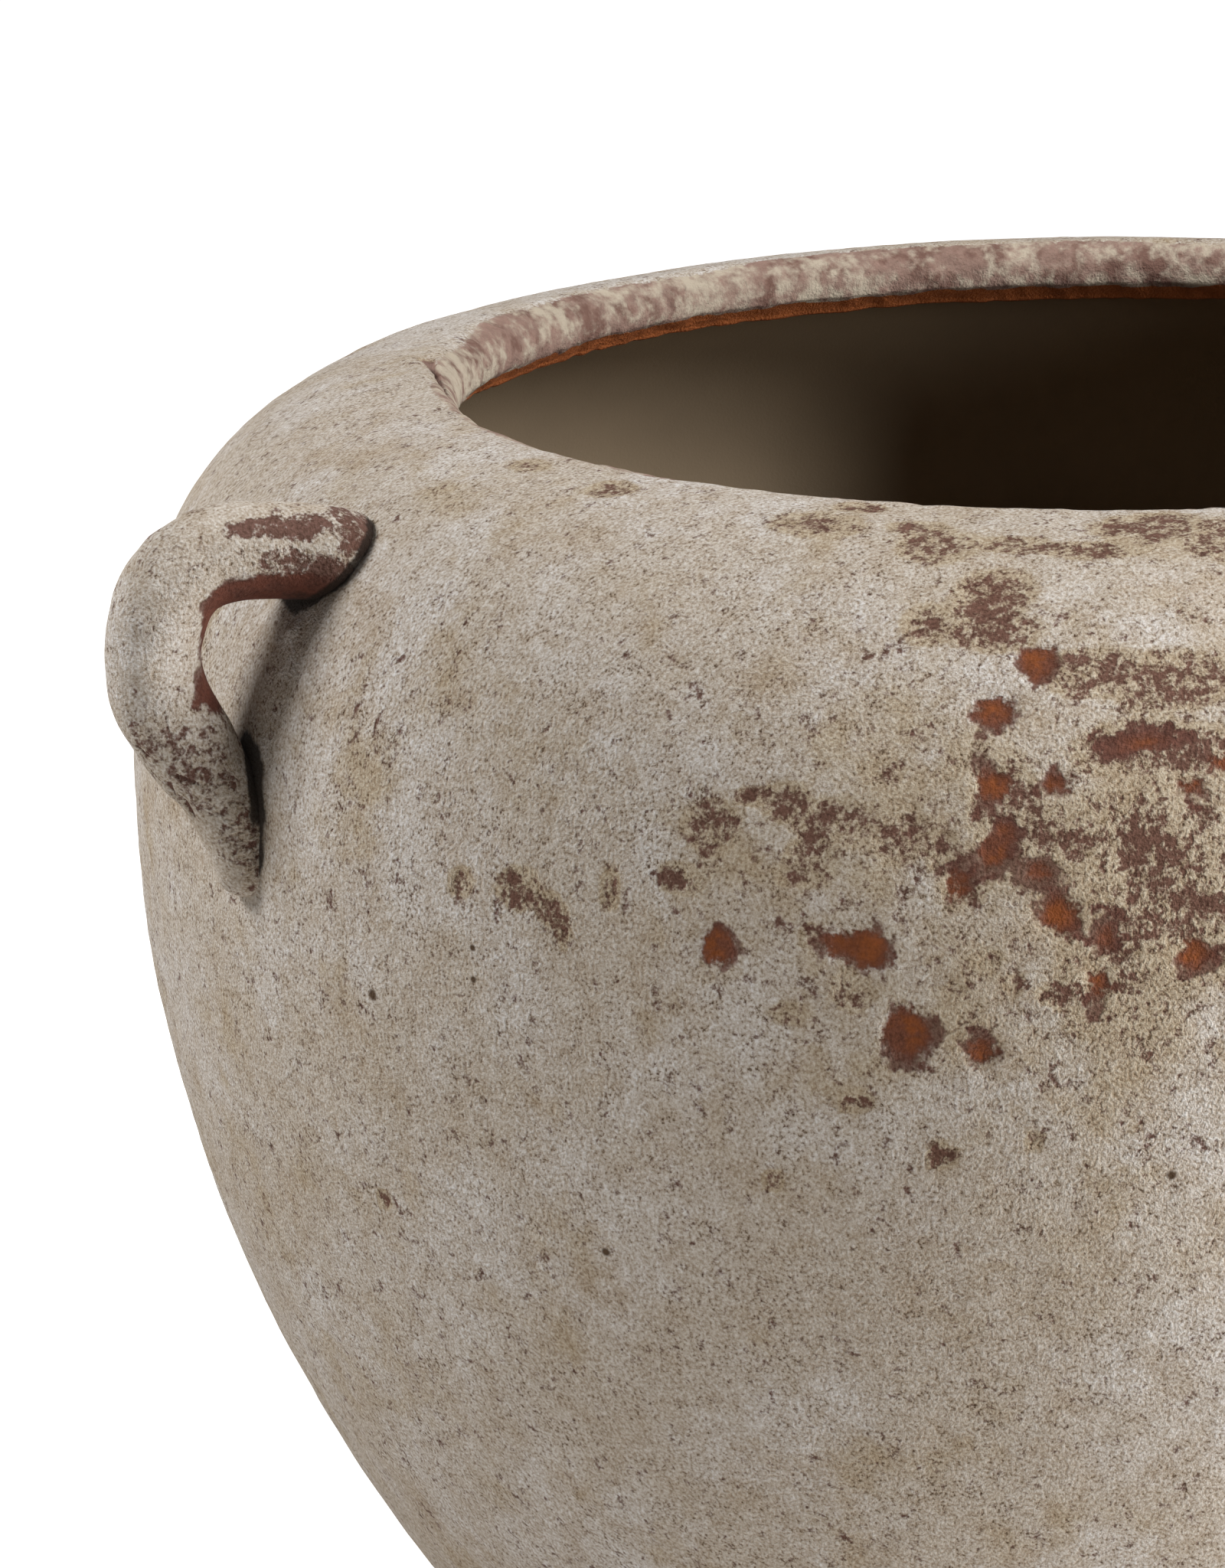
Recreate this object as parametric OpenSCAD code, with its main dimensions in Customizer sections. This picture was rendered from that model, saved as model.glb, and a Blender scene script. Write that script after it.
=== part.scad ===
// Round-bellied clay vase with a wide mouth and two small loop handles.
// Origin at the middle of the base, +Z up, the handles on the X axis.

/* [Body] */
// Diameter across the belly, the widest part
belly_d = 340; // [310:1:380]
// Height of the belly above the base
belly_h = 186; // [165:1:210]
// Height of the shoulder, from the belly to the top of the lip
shoulder_h = 64; // [58:1:76]
// Diameter of the flat base
base_d = 172; // [150:1:195]
// Thickness of the wall
wall_t = 11; // [8:0.5:14]
// Thickness of the base slab
floor_t = 12; // [9:0.5:16]
// Radius of the smeared clay in the corner between the floor and the wall
floor_fillet = 14; // [8:1:20]
// Radius of the worn bottom edge
foot_r = 4; // [2:0.5:6]

/* [Curve of the wall] */
// Lean of the wall where it leaves the base, from upright, in degrees
foot_lean = 45.8; // [42:0.1:50]
// Pull of the base end on the curve: longer is straighter
foot_pull = 111; // [95:1:125]
// Pull of the belly on the lower curve: longer is fuller
belly_pull_down = 32.5; // [22:0.5:45]
// Pull of the belly on the shoulder's curve: longer is fuller
belly_pull_up = 49; // [42:0.5:55]
// Pull of the lip on the shoulder's curve: longer is flatter
lip_pull = 23; // [17:0.5:29]
// Slope of the shoulder where it runs into the lip, in degrees
lip_slope = 5.2; // [2:0.1:9]

/* [Lip] */
// Inner diameter of the mouth, across the rounded lip
mouth_d = 226; // [210:1:244]
// Radius of the rounded lip
lip_r = 6; // [4.5:0.5:7]
// How far the round carries on under the lip, in degrees
lip_turn = 18; // [10:1:30]
// How far the bare edge under the lip stands back from the mouth
edge_back = 3.3; // [2:0.1:5]
// Radius of the bare edge
edge_r = 1.6; // [1:0.1:2.4]
// Drop of the bare edge below the underside of the shoulder
edge_drop = 0.7; // [0.2:0.1:1.5]

/* [Joints between the clay sections] */
// Width of the lip coil, from the top of the lip outwards
lip_coil_w = 15; // [12:1:19]
// Depth of the scored V joint that keys one section into the next
key_h = 3; // [2:0.5:4]
// Flat land on each side of the V joint
key_land = 2.5; // [1.5:0.5:3.5]

/* [Handles] */
// Diameter of the rolled coil of a handle
coil_d = 15.8; // [13:0.2:19]
// Diameter of the coil's blunt upper end
arm_end_d = 15.2; // [12:0.2:17]
// Diameter of the coil at the tip of its tail
tail_tip_d = 10; // [8:0.2:12]
// Clear gap between the wall and the loop
finger_gap = 10.4; // [9:0.2:15]
// Depth of the upper end's centre below the top of the lip
arm_drop = 14.6; // [13.6:0.2:18]
// Depth of the loop's outermost point below the top of the lip
loop_drop = 29; // [26:0.5:33]
// Depth of the tail's tip below the top of the lip
tail_drop = 63.5; // [61:0.5:70]
// Pull of the arm where it leaves the shoulder
arm_pull = 12.8; // [10:0.2:15]
// Rise of the arm where it leaves the shoulder, in degrees
arm_rise = 20; // [14:0.2:26]
// How far the upper end leans out of the handle's plane, to the front
arm_lean = 5.6; // [0:0.2:8]
// How far the tip of the tail leans out of the handle's plane, to the front
tail_lean = 6; // [0:0.2:8]
// Pull of the loop's outermost point on the bend above it
loop_pull_up = 20; // [16:0.5:23]
// Pull of the loop's outermost point on the bend below it
loop_pull_down = 13; // [10:0.5:16]
// Pull of the tail's tip along the wall
tail_pull = 18.5; // [16:0.5:23]
// Height of the tail's centre line over the wall where the tail comes in
tail_lift = 4; // [2:0.5:6]
// Depth of the tail's centre line under the face of the wall at its tip
tail_sink = 0.3; // [0.1:0.1:1.2]
// Room for the slip between a handle and the wall
slip_room = 0.2; // [0.1:0.05:0.3]

/* [Hidden] */

// Faces round the vase, spans along a wall curve and spans on a small round
turn_fn = 128;
wall_spans = 22;
round_spans = 8;
// Sides of a handle's coil, and spans along its buried end, each bend and its rounded tip
coil_sides = 20;
stub_spans = 2;
bend_spans = 20;
tip_spans = 3;
// Length of the handle's end that starts inside the wall, before it is cut to it
stub_len = 12;
// Places along the two bends, from 0 to 2, where the arm has its full size and where the tail starts to taper
arm_full_at = 0.3;
taper_from = 1.2;
// Share of the lip coil's underside that follows the shoulder before it drops to the bare edge
underside_share = 0.6;
// Heading at which the smeared clay meets the floor: past straight down, so that its edge isn't a feather
smear_heading = -70;
// Halvings of a search along a curve
halvings = 24;

clay_colour = [0.72, 0.68, 0.63];
lip_colour = [0.54, 0.44, 0.38];
handle_colour = [0.66, 0.60, 0.53];

belly_r = belly_d / 2;
base_r = base_d / 2;
mouth_r = mouth_d / 2;
top_h = belly_h + shoulder_h;

// Unit direction in a section of the vase, in degrees up from level
function heading(a) = [cos(a), sin(a)];

// Point on a curve with two ends and two pulls, and the curve's unit direction there
function bend(c, t) =
    c[0] * pow(1 - t, 3) + 3 * c[1] * t * pow(1 - t, 2) + 3 * c[2] * t * t * (1 - t) + c[3] * pow(t, 3);
function bend_dir(c, t) =
    let (v = (c[1] - c[0]) * pow(1 - t, 2) + 2 * (c[2] - c[1]) * t * (1 - t) + (c[3] - c[2]) * t * t)
    v / norm(v);

// Point at a depth under the outer face of a wall curve that runs upwards
function under(c, t, depth = 0) =
    let (d = bend_dir(c, t))
    bend(c, t) - depth * [d[1], -d[0]];

// Place on a curve where the line at a depth under it reaches a height
function at_height(c, h, depth = 0, low = 0, high = 1, n = halvings) =
    let (mid = (low + high) / 2)
    n < 1 ? mid
    : under(c, mid, depth)[1] < h ? at_height(c, h, depth, mid, high, n - 1)
    : at_height(c, h, depth, low, mid, n - 1);

// Place on the shoulder's curve at a distance from the axis
function at_reach(c, r, low = 0, high = 1, n = halvings) =
    let (mid = (low + high) / 2)
    n < 1 ? mid
    : bend(c, mid)[0] > r ? at_reach(c, r, mid, high, n - 1)
    : at_reach(c, r, low, mid, n - 1);

// Points between two places on a wall curve, without its ends, at a depth under it
function wall_line(c, from, to, depth = 0) =
    [for (i = [1:wall_spans - 1]) under(c, from + (to - from) * i / wall_spans, depth)];

// Points on a round, with its ends, from one heading to another
function round_line(centre, r, from, to) =
    [for (i = [0:round_spans]) centre + r * heading(from + (to - from) * i / round_spans)];

// The V joint across the wall, from the outer face to the inner one
function joint_line(c, t) = [
    under(c, t),
    under(c, t, key_land),
    under(c, t, wall_t / 2) - key_h * bend_dir(c, t),
    under(c, t, wall_t - key_land),
    under(c, t, wall_t)
];

function reversed(list) = [for (i = [len(list) - 1:-1:0]) list[i]];

// The lip's round, and the place where the shoulder runs into it
lip_centre = [mouth_r + lip_r, top_h - lip_r];
lip_start = lip_centre + lip_r * heading(90 - lip_slope);

// Outer curves of the wall, both running upwards
lower_curve = [
    [base_r, 0],
    [base_r, 0] + foot_pull * heading(90 - foot_lean),
    [belly_r, belly_h - belly_pull_down],
    [belly_r, belly_h]
];
shoulder_curve = [
    [belly_r, belly_h],
    [belly_r, belly_h + belly_pull_up],
    lip_start + lip_pull * heading(-lip_slope),
    lip_start
];

// Places where the sections meet
slab_seam = at_height(lower_curve, floor_t);
lip_seam = at_reach(shoulder_curve, lip_start[0] + lip_coil_w);

// Rounded bottom edge, between the flat base and the leaning wall
foot_reach = foot_r * tan((90 - foot_lean) / 2);
foot_centre = [base_r - foot_reach, foot_r];
foot_end = at_height(lower_curve, foot_reach * cos(foot_lean));

// Smeared clay between the floor and the inner face of the wall, its round cut off by the floor
smear_sink = floor_fillet * (1 + sin(smear_heading));
smear_h = floor_t + floor_fillet - smear_sink;
smear_at = at_height(lower_curve, smear_h, wall_t + floor_fillet);
smear_centre = under(lower_curve, smear_at, wall_t + floor_fillet);
smear_dir = bend_dir(lower_curve, smear_at);
smear_end = atan2(-smear_dir[0], smear_dir[1]);

// The V joint across the foot of the wall, on the slab, from the outer face to the inner one
slab_out = bend(lower_curve, slab_seam)[0];
slab_in = under(lower_curve, at_height(lower_curve, floor_t, wall_t), wall_t)[0];
slab_joint = [
    [slab_out, floor_t],
    [slab_out - key_land, floor_t],
    [(slab_out + slab_in) / 2, floor_t - key_h],
    [slab_in + key_land, floor_t]
];

// Bare edge under the lip, and the end of the underside that runs to it
edge_low = under(shoulder_curve, 1, wall_t)[1] - edge_drop;
edge_centre = [mouth_r + edge_back + edge_r, edge_low + edge_r];
underside_end = lip_seam + underside_share * (1 - lip_seam);

// Reach of the wall's outer face at a height
function wall_reach(h) =
    h < belly_h ? bend(lower_curve, at_height(lower_curve, h))[0]
    : bend(shoulder_curve, at_height(shoulder_curve, h))[0];

// Centre line of a handle's coil, in the plane of the handle: one bend above its outermost point, one below
arm_root = [wall_reach(top_h - arm_drop), top_h - arm_drop];
loop_side = [wall_reach(top_h - loop_drop) + finger_gap + coil_d / 2, top_h - loop_drop];
tail_tip = [wall_reach(top_h - tail_drop) - tail_sink, top_h - tail_drop];
tail_in_h = tail_tip[1] + tail_pull;
arm_bend = [
    arm_root,
    arm_root + arm_pull * heading(arm_rise),
    loop_side + [0, loop_pull_up],
    loop_side
];
tail_bend = [
    loop_side,
    loop_side - [0, loop_pull_down],
    [wall_reach(tail_in_h) + tail_lift, tail_in_h],
    tail_tip
];

// Radius of the coil at a place along the two bends
function ease(x) = x * x * (3 - 2 * x);
function coil_r(u) =
    u < arm_full_at ? (arm_end_d + (coil_d - arm_end_d) * ease(u / arm_full_at)) / 2
    : u < taper_from ? coil_d / 2
    : (coil_d - (coil_d - tail_tip_d) * pow((u - taper_from) / (2 - taper_from), 2)) / 2;

// Rings of the coil, each with its centre, its direction, its radius and its place out of the handle's plane
function coil_rings(front) =
    let (
        arm_dir = bend_dir(arm_bend, 0),
        tip_dir = bend_dir(tail_bend, 1),
        tip_r = tail_tip_d / 2
    )
    concat(
        [
            for (i = [0:stub_spans - 1])
            [arm_root - arm_dir * stub_len * (1 - i / stub_spans), arm_dir, coil_r(0), front * arm_lean]
        ],
        [
            for (i = [0:bend_spans - 1])
            let (t = i / bend_spans)
            [bend(arm_bend, t), bend_dir(arm_bend, t), coil_r(t), front * arm_lean * (1 - ease(t))]
        ],
        [
            for (i = [0:bend_spans])
            let (t = i / bend_spans)
            [bend(tail_bend, t), bend_dir(tail_bend, t), coil_r(1 + t), front * tail_lean * ease(t)]
        ],
        [
            for (i = [1:tip_spans])
            let (a = 90 * i / (tip_spans + 1))
            [tail_tip + tip_dir * tip_r * sin(a), tip_dir, tip_r * cos(a), front * tail_lean]
        ]
    );

// Point on a ring: across the handle's plane is Y
function ring_point(ring, a) =
    let (
        out = ring[0] + ring[2] * cos(a) * [-ring[1][1], ring[1][0]]
    )
    [out[0], ring[3] + ring[2] * sin(a), out[1]];

module turned(section) {
    rotate_extrude($fn = turn_fn) polygon(section);
}

// The vase as a solid lump, grown by the room for the slip
module wall_lump() {
    section = concat(
        [[0, top_h], [0, 0], under(lower_curve, slab_seam, -slip_room)],
        wall_line(lower_curve, slab_seam, 1, -slip_room),
        [under(lower_curve, 1, -slip_room)],
        wall_line(shoulder_curve, 0, lip_seam, -slip_room),
        [under(shoulder_curve, lip_seam, -slip_room)]
    );
    turned(section);
}

// A coil lofted along the two bends, with its ends cut to the wall; front is the side that its ends lean to
module handle(front) {
    rings = coil_rings(front);
    last = len(rings) - 1;
    points = [for (ring = rings) for (j = [0:coil_sides - 1]) ring_point(ring, 360 * j / coil_sides)];
    skin = [
        for (i = [0:last - 1]) for (j = [0:coil_sides - 1])
        let (
            a = i * coil_sides + j,
            b = i * coil_sides + (j + 1) % coil_sides
        )
        each [[a, b, b + coil_sides], [a, b + coil_sides, a + coil_sides]]
    ];
    start_cap = [for (j = [coil_sides - 1:-1:0]) j];
    end_cap = [for (j = [0:coil_sides - 1]) last * coil_sides + j];
    color(handle_colour) difference() {
        polyhedron(points, concat(skin, [start_cap, end_cap]));
        wall_lump();
    }
}

module base_slab() {
    section = concat(
        [[0, floor_t], [0, 0]],
        round_line(foot_centre, foot_r, -90, -foot_lean),
        wall_line(lower_curve, foot_end, slab_seam),
        slab_joint
    );
    color(clay_colour) turned(section);
}

module lower_wall() {
    section = concat(
        reversed(slab_joint),
        wall_line(lower_curve, slab_seam, 1),
        joint_line(lower_curve, 1),
        reversed(wall_line(lower_curve, smear_at, 1, wall_t)),
        reversed(round_line(smear_centre, floor_fillet, smear_heading, smear_end))
    );
    color(clay_colour) turned(section);
}

module shoulder_wall() {
    section = concat(
        reversed(joint_line(shoulder_curve, 0)),
        wall_line(shoulder_curve, 0, lip_seam),
        joint_line(shoulder_curve, lip_seam),
        reversed(wall_line(shoulder_curve, 0, lip_seam, wall_t))
    );
    color(clay_colour) turned(section);
}

module lip_coil() {
    section = concat(
        reversed(joint_line(shoulder_curve, lip_seam)),
        wall_line(shoulder_curve, lip_seam, 1),
        round_line(lip_centre, lip_r, 90 - lip_slope, 180 + lip_turn),
        round_line(edge_centre, edge_r, 180 + lip_turn, 270),
        reversed(wall_line(shoulder_curve, lip_seam, underside_end, wall_t))
    );
    color(lip_colour) turned(section);
}

module handle_right() {
    handle(-1);
}

module handle_left() {
    rotate([0, 0, 180]) handle(1);
}

base_slab();
lower_wall();
shoulder_wall();
lip_coil();
handle_left();
handle_right();
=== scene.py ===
"""Hand-built clay vase with a worn slip, a rounded lip and two loop handles, dressed around its CAD frame."""

import functools

import bpy
import numpy as np
from bpy.props import FloatProperty, FloatVectorProperty, IntProperty, PointerProperty
from mathutils import Matrix, Vector


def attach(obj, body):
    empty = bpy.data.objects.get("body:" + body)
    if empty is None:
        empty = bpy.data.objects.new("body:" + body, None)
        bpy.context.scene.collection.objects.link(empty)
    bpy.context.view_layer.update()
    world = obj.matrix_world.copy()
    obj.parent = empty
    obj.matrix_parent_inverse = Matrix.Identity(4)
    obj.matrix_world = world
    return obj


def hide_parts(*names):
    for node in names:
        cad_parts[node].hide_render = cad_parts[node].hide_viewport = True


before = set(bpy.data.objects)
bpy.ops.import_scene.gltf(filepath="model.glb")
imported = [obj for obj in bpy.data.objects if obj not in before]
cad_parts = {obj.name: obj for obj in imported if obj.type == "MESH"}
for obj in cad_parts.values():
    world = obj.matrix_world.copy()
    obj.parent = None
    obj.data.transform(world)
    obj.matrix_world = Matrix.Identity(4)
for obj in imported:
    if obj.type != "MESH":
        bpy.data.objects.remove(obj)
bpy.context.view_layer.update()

bl_info = {
    "name": "Worn clay vase",
    "version": (1, 0, 0),
    "blender": (4, 5, 0),
    "location": "3D View > Sidebar > Vase",
    "description": "Makes a hand-built clay vase with a worn sandy slip",
    "category": "Add Mesh",
}

MM = 0.001
BODY = "root"

# Columns round the vase: the lip is twice as fine as the walls
LIP_COLUMNS = 1440
WALL_STEP = 2


def length(name, description, millimetres):
    """A property that is a length, with its default given in millimetres."""
    kind = {"unit": "LENGTH", "subtype": "DISTANCE", "precision": 4}
    return FloatProperty(name=name, description=description, default=millimetres * MM, **kind)


def plain(name, description, value):
    """A property that is a plain number, such as an angle in degrees."""
    return FloatProperty(name=name, description=description, default=value)


def tint(name, description, *shown):
    """A colour property from display values of 0 to 255, kept as linear light."""
    shown = np.array(shown) / 255
    light = np.where(shown <= 0.04045, shown / 12.92, ((shown + 0.055) / 1.055) ** 2.4)
    kind = {"size": 4, "subtype": "COLOR", "min": 0.0, "max": 1.0}
    return FloatVectorProperty(name=name, description=description, default=(*light, 1.0), **kind)


class VaseSize(bpy.types.PropertyGroup):
    """Sizes of the vase's form."""

    belly_radius: length("Belly radius", "Reach of the widest line", 170)
    belly_height: length("Belly height", "Height of the widest line", 186)
    top_height: length("Top height", "Height of the top of the lip", 250)
    base_radius: length("Base radius", "Reach of the flat base", 86)
    wall: length("Wall", "Thickness of the wall", 11)
    floor: length("Floor", "Thickness of the base slab", 12)
    smear: length("Smear", "Radius of the smeared clay in the floor's corner", 14)
    foot_round: length("Foot round", "Radius of the worn bottom edge", 4)
    foot_lean: plain("Foot lean", "Degrees that the wall leans out where it leaves the base", 45.8)
    foot_pull: length("Foot pull", "Pull of the base end on the wall's curve", 111)
    belly_pull_down: length("Belly pull down", "Pull of the belly on the lower curve", 32.5)
    belly_pull_up: length("Belly pull up", "Pull of the belly on the shoulder's curve", 49)
    lip_pull: length("Lip pull", "Pull of the lip on the shoulder's curve", 23)
    lip_slope: plain("Lip slope", "Degrees that the shoulder slopes where it runs into the lip", 5.2)
    mouth_radius: length("Mouth radius", "Inner reach of the rounded lip", 113)
    lip_round: length("Lip round", "Radius of the rounded lip", 6)
    lip_turn: plain("Lip turn", "Degrees that the round carries on under the lip", 18)
    lip_width: length("Lip width", "Width of the lip coil from the top of the lip outwards", 15)
    edge_back: length("Edge back", "How far the bare edge stands back from the mouth", 3.3)
    edge_round: length("Edge round", "Radius of the bare edge", 1.6)
    edge_drop: length("Edge drop", "Drop of the bare edge below the shoulder's underside", 0.7)
    key_depth: length("Key depth", "Depth of the V joint between the sections", 3)
    key_land: length("Key land", "Flat land beside the V joint", 2.5)


class VaseHandles(bpy.types.PropertyGroup):
    """Sizes of the two loop handles."""

    coil: length("Coil", "Diameter of the rolled coil", 15.8)
    arm_end: length("Arm end", "Diameter of the blunt upper end", 15.2)
    tail_tip: length("Tail tip", "Diameter at the tip of the tail", 10)
    finger_gap: length("Finger gap", "Clear gap between the wall and the loop", 10.4)
    arm_drop: length("Arm drop", "Depth of the upper end below the top of the lip", 14.6)
    loop_drop: length("Loop drop", "Depth of the outermost point below the top of the lip", 29)
    tail_drop: length("Tail drop", "Depth of the tail's tip below the top of the lip", 63.5)
    arm_pull: length("Arm pull", "Pull of the arm where it leaves the shoulder", 12.8)
    arm_rise: plain("Arm rise", "Degrees that the arm rises where it leaves the shoulder", 20)
    arm_lean: length("Arm lean", "How far the upper end leans to the front", 5.6)
    tail_lean: length("Tail lean", "How far the tail's tip leans to the front", 6)
    loop_pull_up: length("Loop pull up", "Pull of the outermost point on the bend above it", 20)
    loop_pull_down: length("Loop pull down", "Pull of the outermost point on the bend below it", 13)
    tail_pull: length("Tail pull", "Pull of the tail's tip along the wall", 18.5)
    tail_lift: length("Tail lift", "Height of the centre line over the wall where the tail comes in", 4)
    tail_sink: length("Tail sink", "Depth of the centre line under the wall at the tip", 0.3)


class VaseWear(bpy.types.PropertyGroup):
    """Hand-made unevenness and wear."""

    wobble: length("Wobble", "Slow unevenness of the wall", 0.45)
    dents: length("Dents", "Dents from a hand's pressure", 0.3)
    lumps: length("Lumps", "Small lumps in the slip", 0.16)
    slip_depth: length("Slip depth", "Step from the slip down to the bare clay", 0.4)
    seed: IntProperty(name="Seed", description="Number that fixes the pattern of wear", default=7, min=0)


class VaseColours(bpy.types.PropertyGroup):
    """Colours of the slip and of the clay under it."""

    slip: tint("Slip", "Sandy slip", 191, 180, 167)
    slip_cream: tint("Cream slip", "Slip where it is worn thin", 176, 159, 134)
    slip_grey: tint("Grey slip", "Cooler patches of the slip", 201, 193, 185)
    stain: tint("Stain", "Tan stains", 168, 148, 122)
    speck: tint("Speck", "Dark grains of sand", 80, 62, 46)
    clay: tint("Worn clay", "Mauve brown under the slip", 96, 62, 52)
    bare: tint("Bare clay", "Fired red clay in the chips", 136, 76, 40)
    # Bare clay on the handles, made darker as painted shade inside the loop
    inner: tint("Inner clay", "Darker red clay inside a handle's loop", 104, 63, 51)
    hollow: tint("Hollow", "Smooth clay inside", 160, 141, 116)
    # Colour that the hollow darkens to towards its bottom
    deep: tint("Deep", "Darker towards the bottom of the hollow", 90, 74, 58)
    band: tint("Band", "Mauve brown band inside the lip", 148, 121, 109)
    cream: tint("Drips", "Cream runs on the band", 198, 186, 166)
    # Near-black painted shade in the crevices beside the handles and under their arms
    dirt: tint("Dirt", "Dirt caught beside the handles", 40, 31, 25)


class VaseStage(bpy.types.PropertyGroup):
    """Camera's place, turn and lens."""

    reach: length("Reach", "Camera's distance from the axis", 1190)
    height: length("Height", "Camera's height over the base", 486.2)
    side: plain("Side", "Camera's place round the vase, in degrees", 238.0)
    turn: plain("Turn", "Degrees that the camera turns away from the axis", -4.225)
    tilt: plain("Tilt", "Degrees that the camera tilts from level", -14.6)
    roll: plain("Roll", "Degrees that the camera rolls", -1.07)
    lens: plain("Lens", "Focal length in millimetres", 162.4)


# Curves of the section

# Steps in which a curve is searched for a height
CURVE_STEPS = 4001


def unit(v):
    """Vectors made one long."""
    return v / np.maximum(np.linalg.norm(v, axis=-1, keepdims=True), 1e-12)


def heading(angle):
    """Unit direction in a section of the vase, at an angle in degrees up from level."""
    a = np.radians(np.asarray(angle, float))
    return np.stack([np.cos(a), np.sin(a)], axis=-1)


def bend(curve, t):
    """Point on a curve with ends A, D and pulls B, C: (1-t)^3 A + 3t(1-t)^2 B + 3t^2(1-t) C + t^3 D."""
    a, b, c, d = np.asarray(curve, float)
    t = np.asarray(t, float)[..., None]
    return a * (1 - t) ** 3 + 3 * b * t * (1 - t) ** 2 + 3 * c * t * t * (1 - t) + d * t**3


def bend_along(curve, t):
    """Unit direction of such a curve: its derivative over its length."""
    a, b, c, d = np.asarray(curve, float)
    t = np.asarray(t, float)[..., None]
    return unit((b - a) * (1 - t) ** 2 + 2 * (c - b) * t * (1 - t) + (d - c) * t * t)


def under(curve, t, depth=0.0):
    """Point at a depth under the outer face of a wall curve that runs upwards."""
    along = bend_along(curve, t)
    return bend(curve, t) - depth * np.stack([along[..., 1], -along[..., 0]], axis=-1)


def ease(x):
    """Smooth step from 0 to 1 as x goes from 0 to 1: 3x^2 - 2x^3."""
    x = np.clip(x, 0.0, 1.0)
    return x * x * (3 - 2 * x)


def wall_curves(size):
    """Outer curve of the lower wall and of the shoulder, both upwards, and the centre of the lip's round."""
    base = np.array([size.base_radius, 0.0])
    belly = np.array([size.belly_radius, size.belly_height])
    lip_centre = np.array([size.mouth_radius + size.lip_round, size.top_height - size.lip_round])
    lip_start = lip_centre + size.lip_round * heading(90 - size.lip_slope)
    up = np.array([0.0, 1.0])
    foot_pull = size.foot_pull * heading(90 - size.foot_lean)
    lip_pull = size.lip_pull * heading(-size.lip_slope)
    lower = [base, base + foot_pull, belly - size.belly_pull_down * up, belly]
    shoulder = [belly, belly + size.belly_pull_up * up, lip_start + lip_pull, lip_start]
    return lower, shoulder, lip_centre


def place_at_height(curve, height, depth=0.0):
    """Place on a wall curve where the line at a depth under it reaches a height."""
    t = np.linspace(0, 1, CURVE_STEPS)
    return float(np.interp(height, under(curve, t, depth)[:, 1], t))


def straight(a, b):
    """Run along a straight line: A + t (B - A)."""
    a, b = np.asarray(a, float), np.asarray(b, float)
    return lambda t: a + t[:, None] * (b - a)


def arc(centre, radius, first, last):
    """Run round an arc: centre + radius (cos a, sin a), with a from the first angle to the last."""
    return lambda t: centre + radius * heading(first + t * (last - first))


def wall_run(curve, first, last, depth=0.0):
    """Run along a wall curve between two places, at a depth under it."""
    return lambda t: under(curve, first + t * (last - first), depth)


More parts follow.
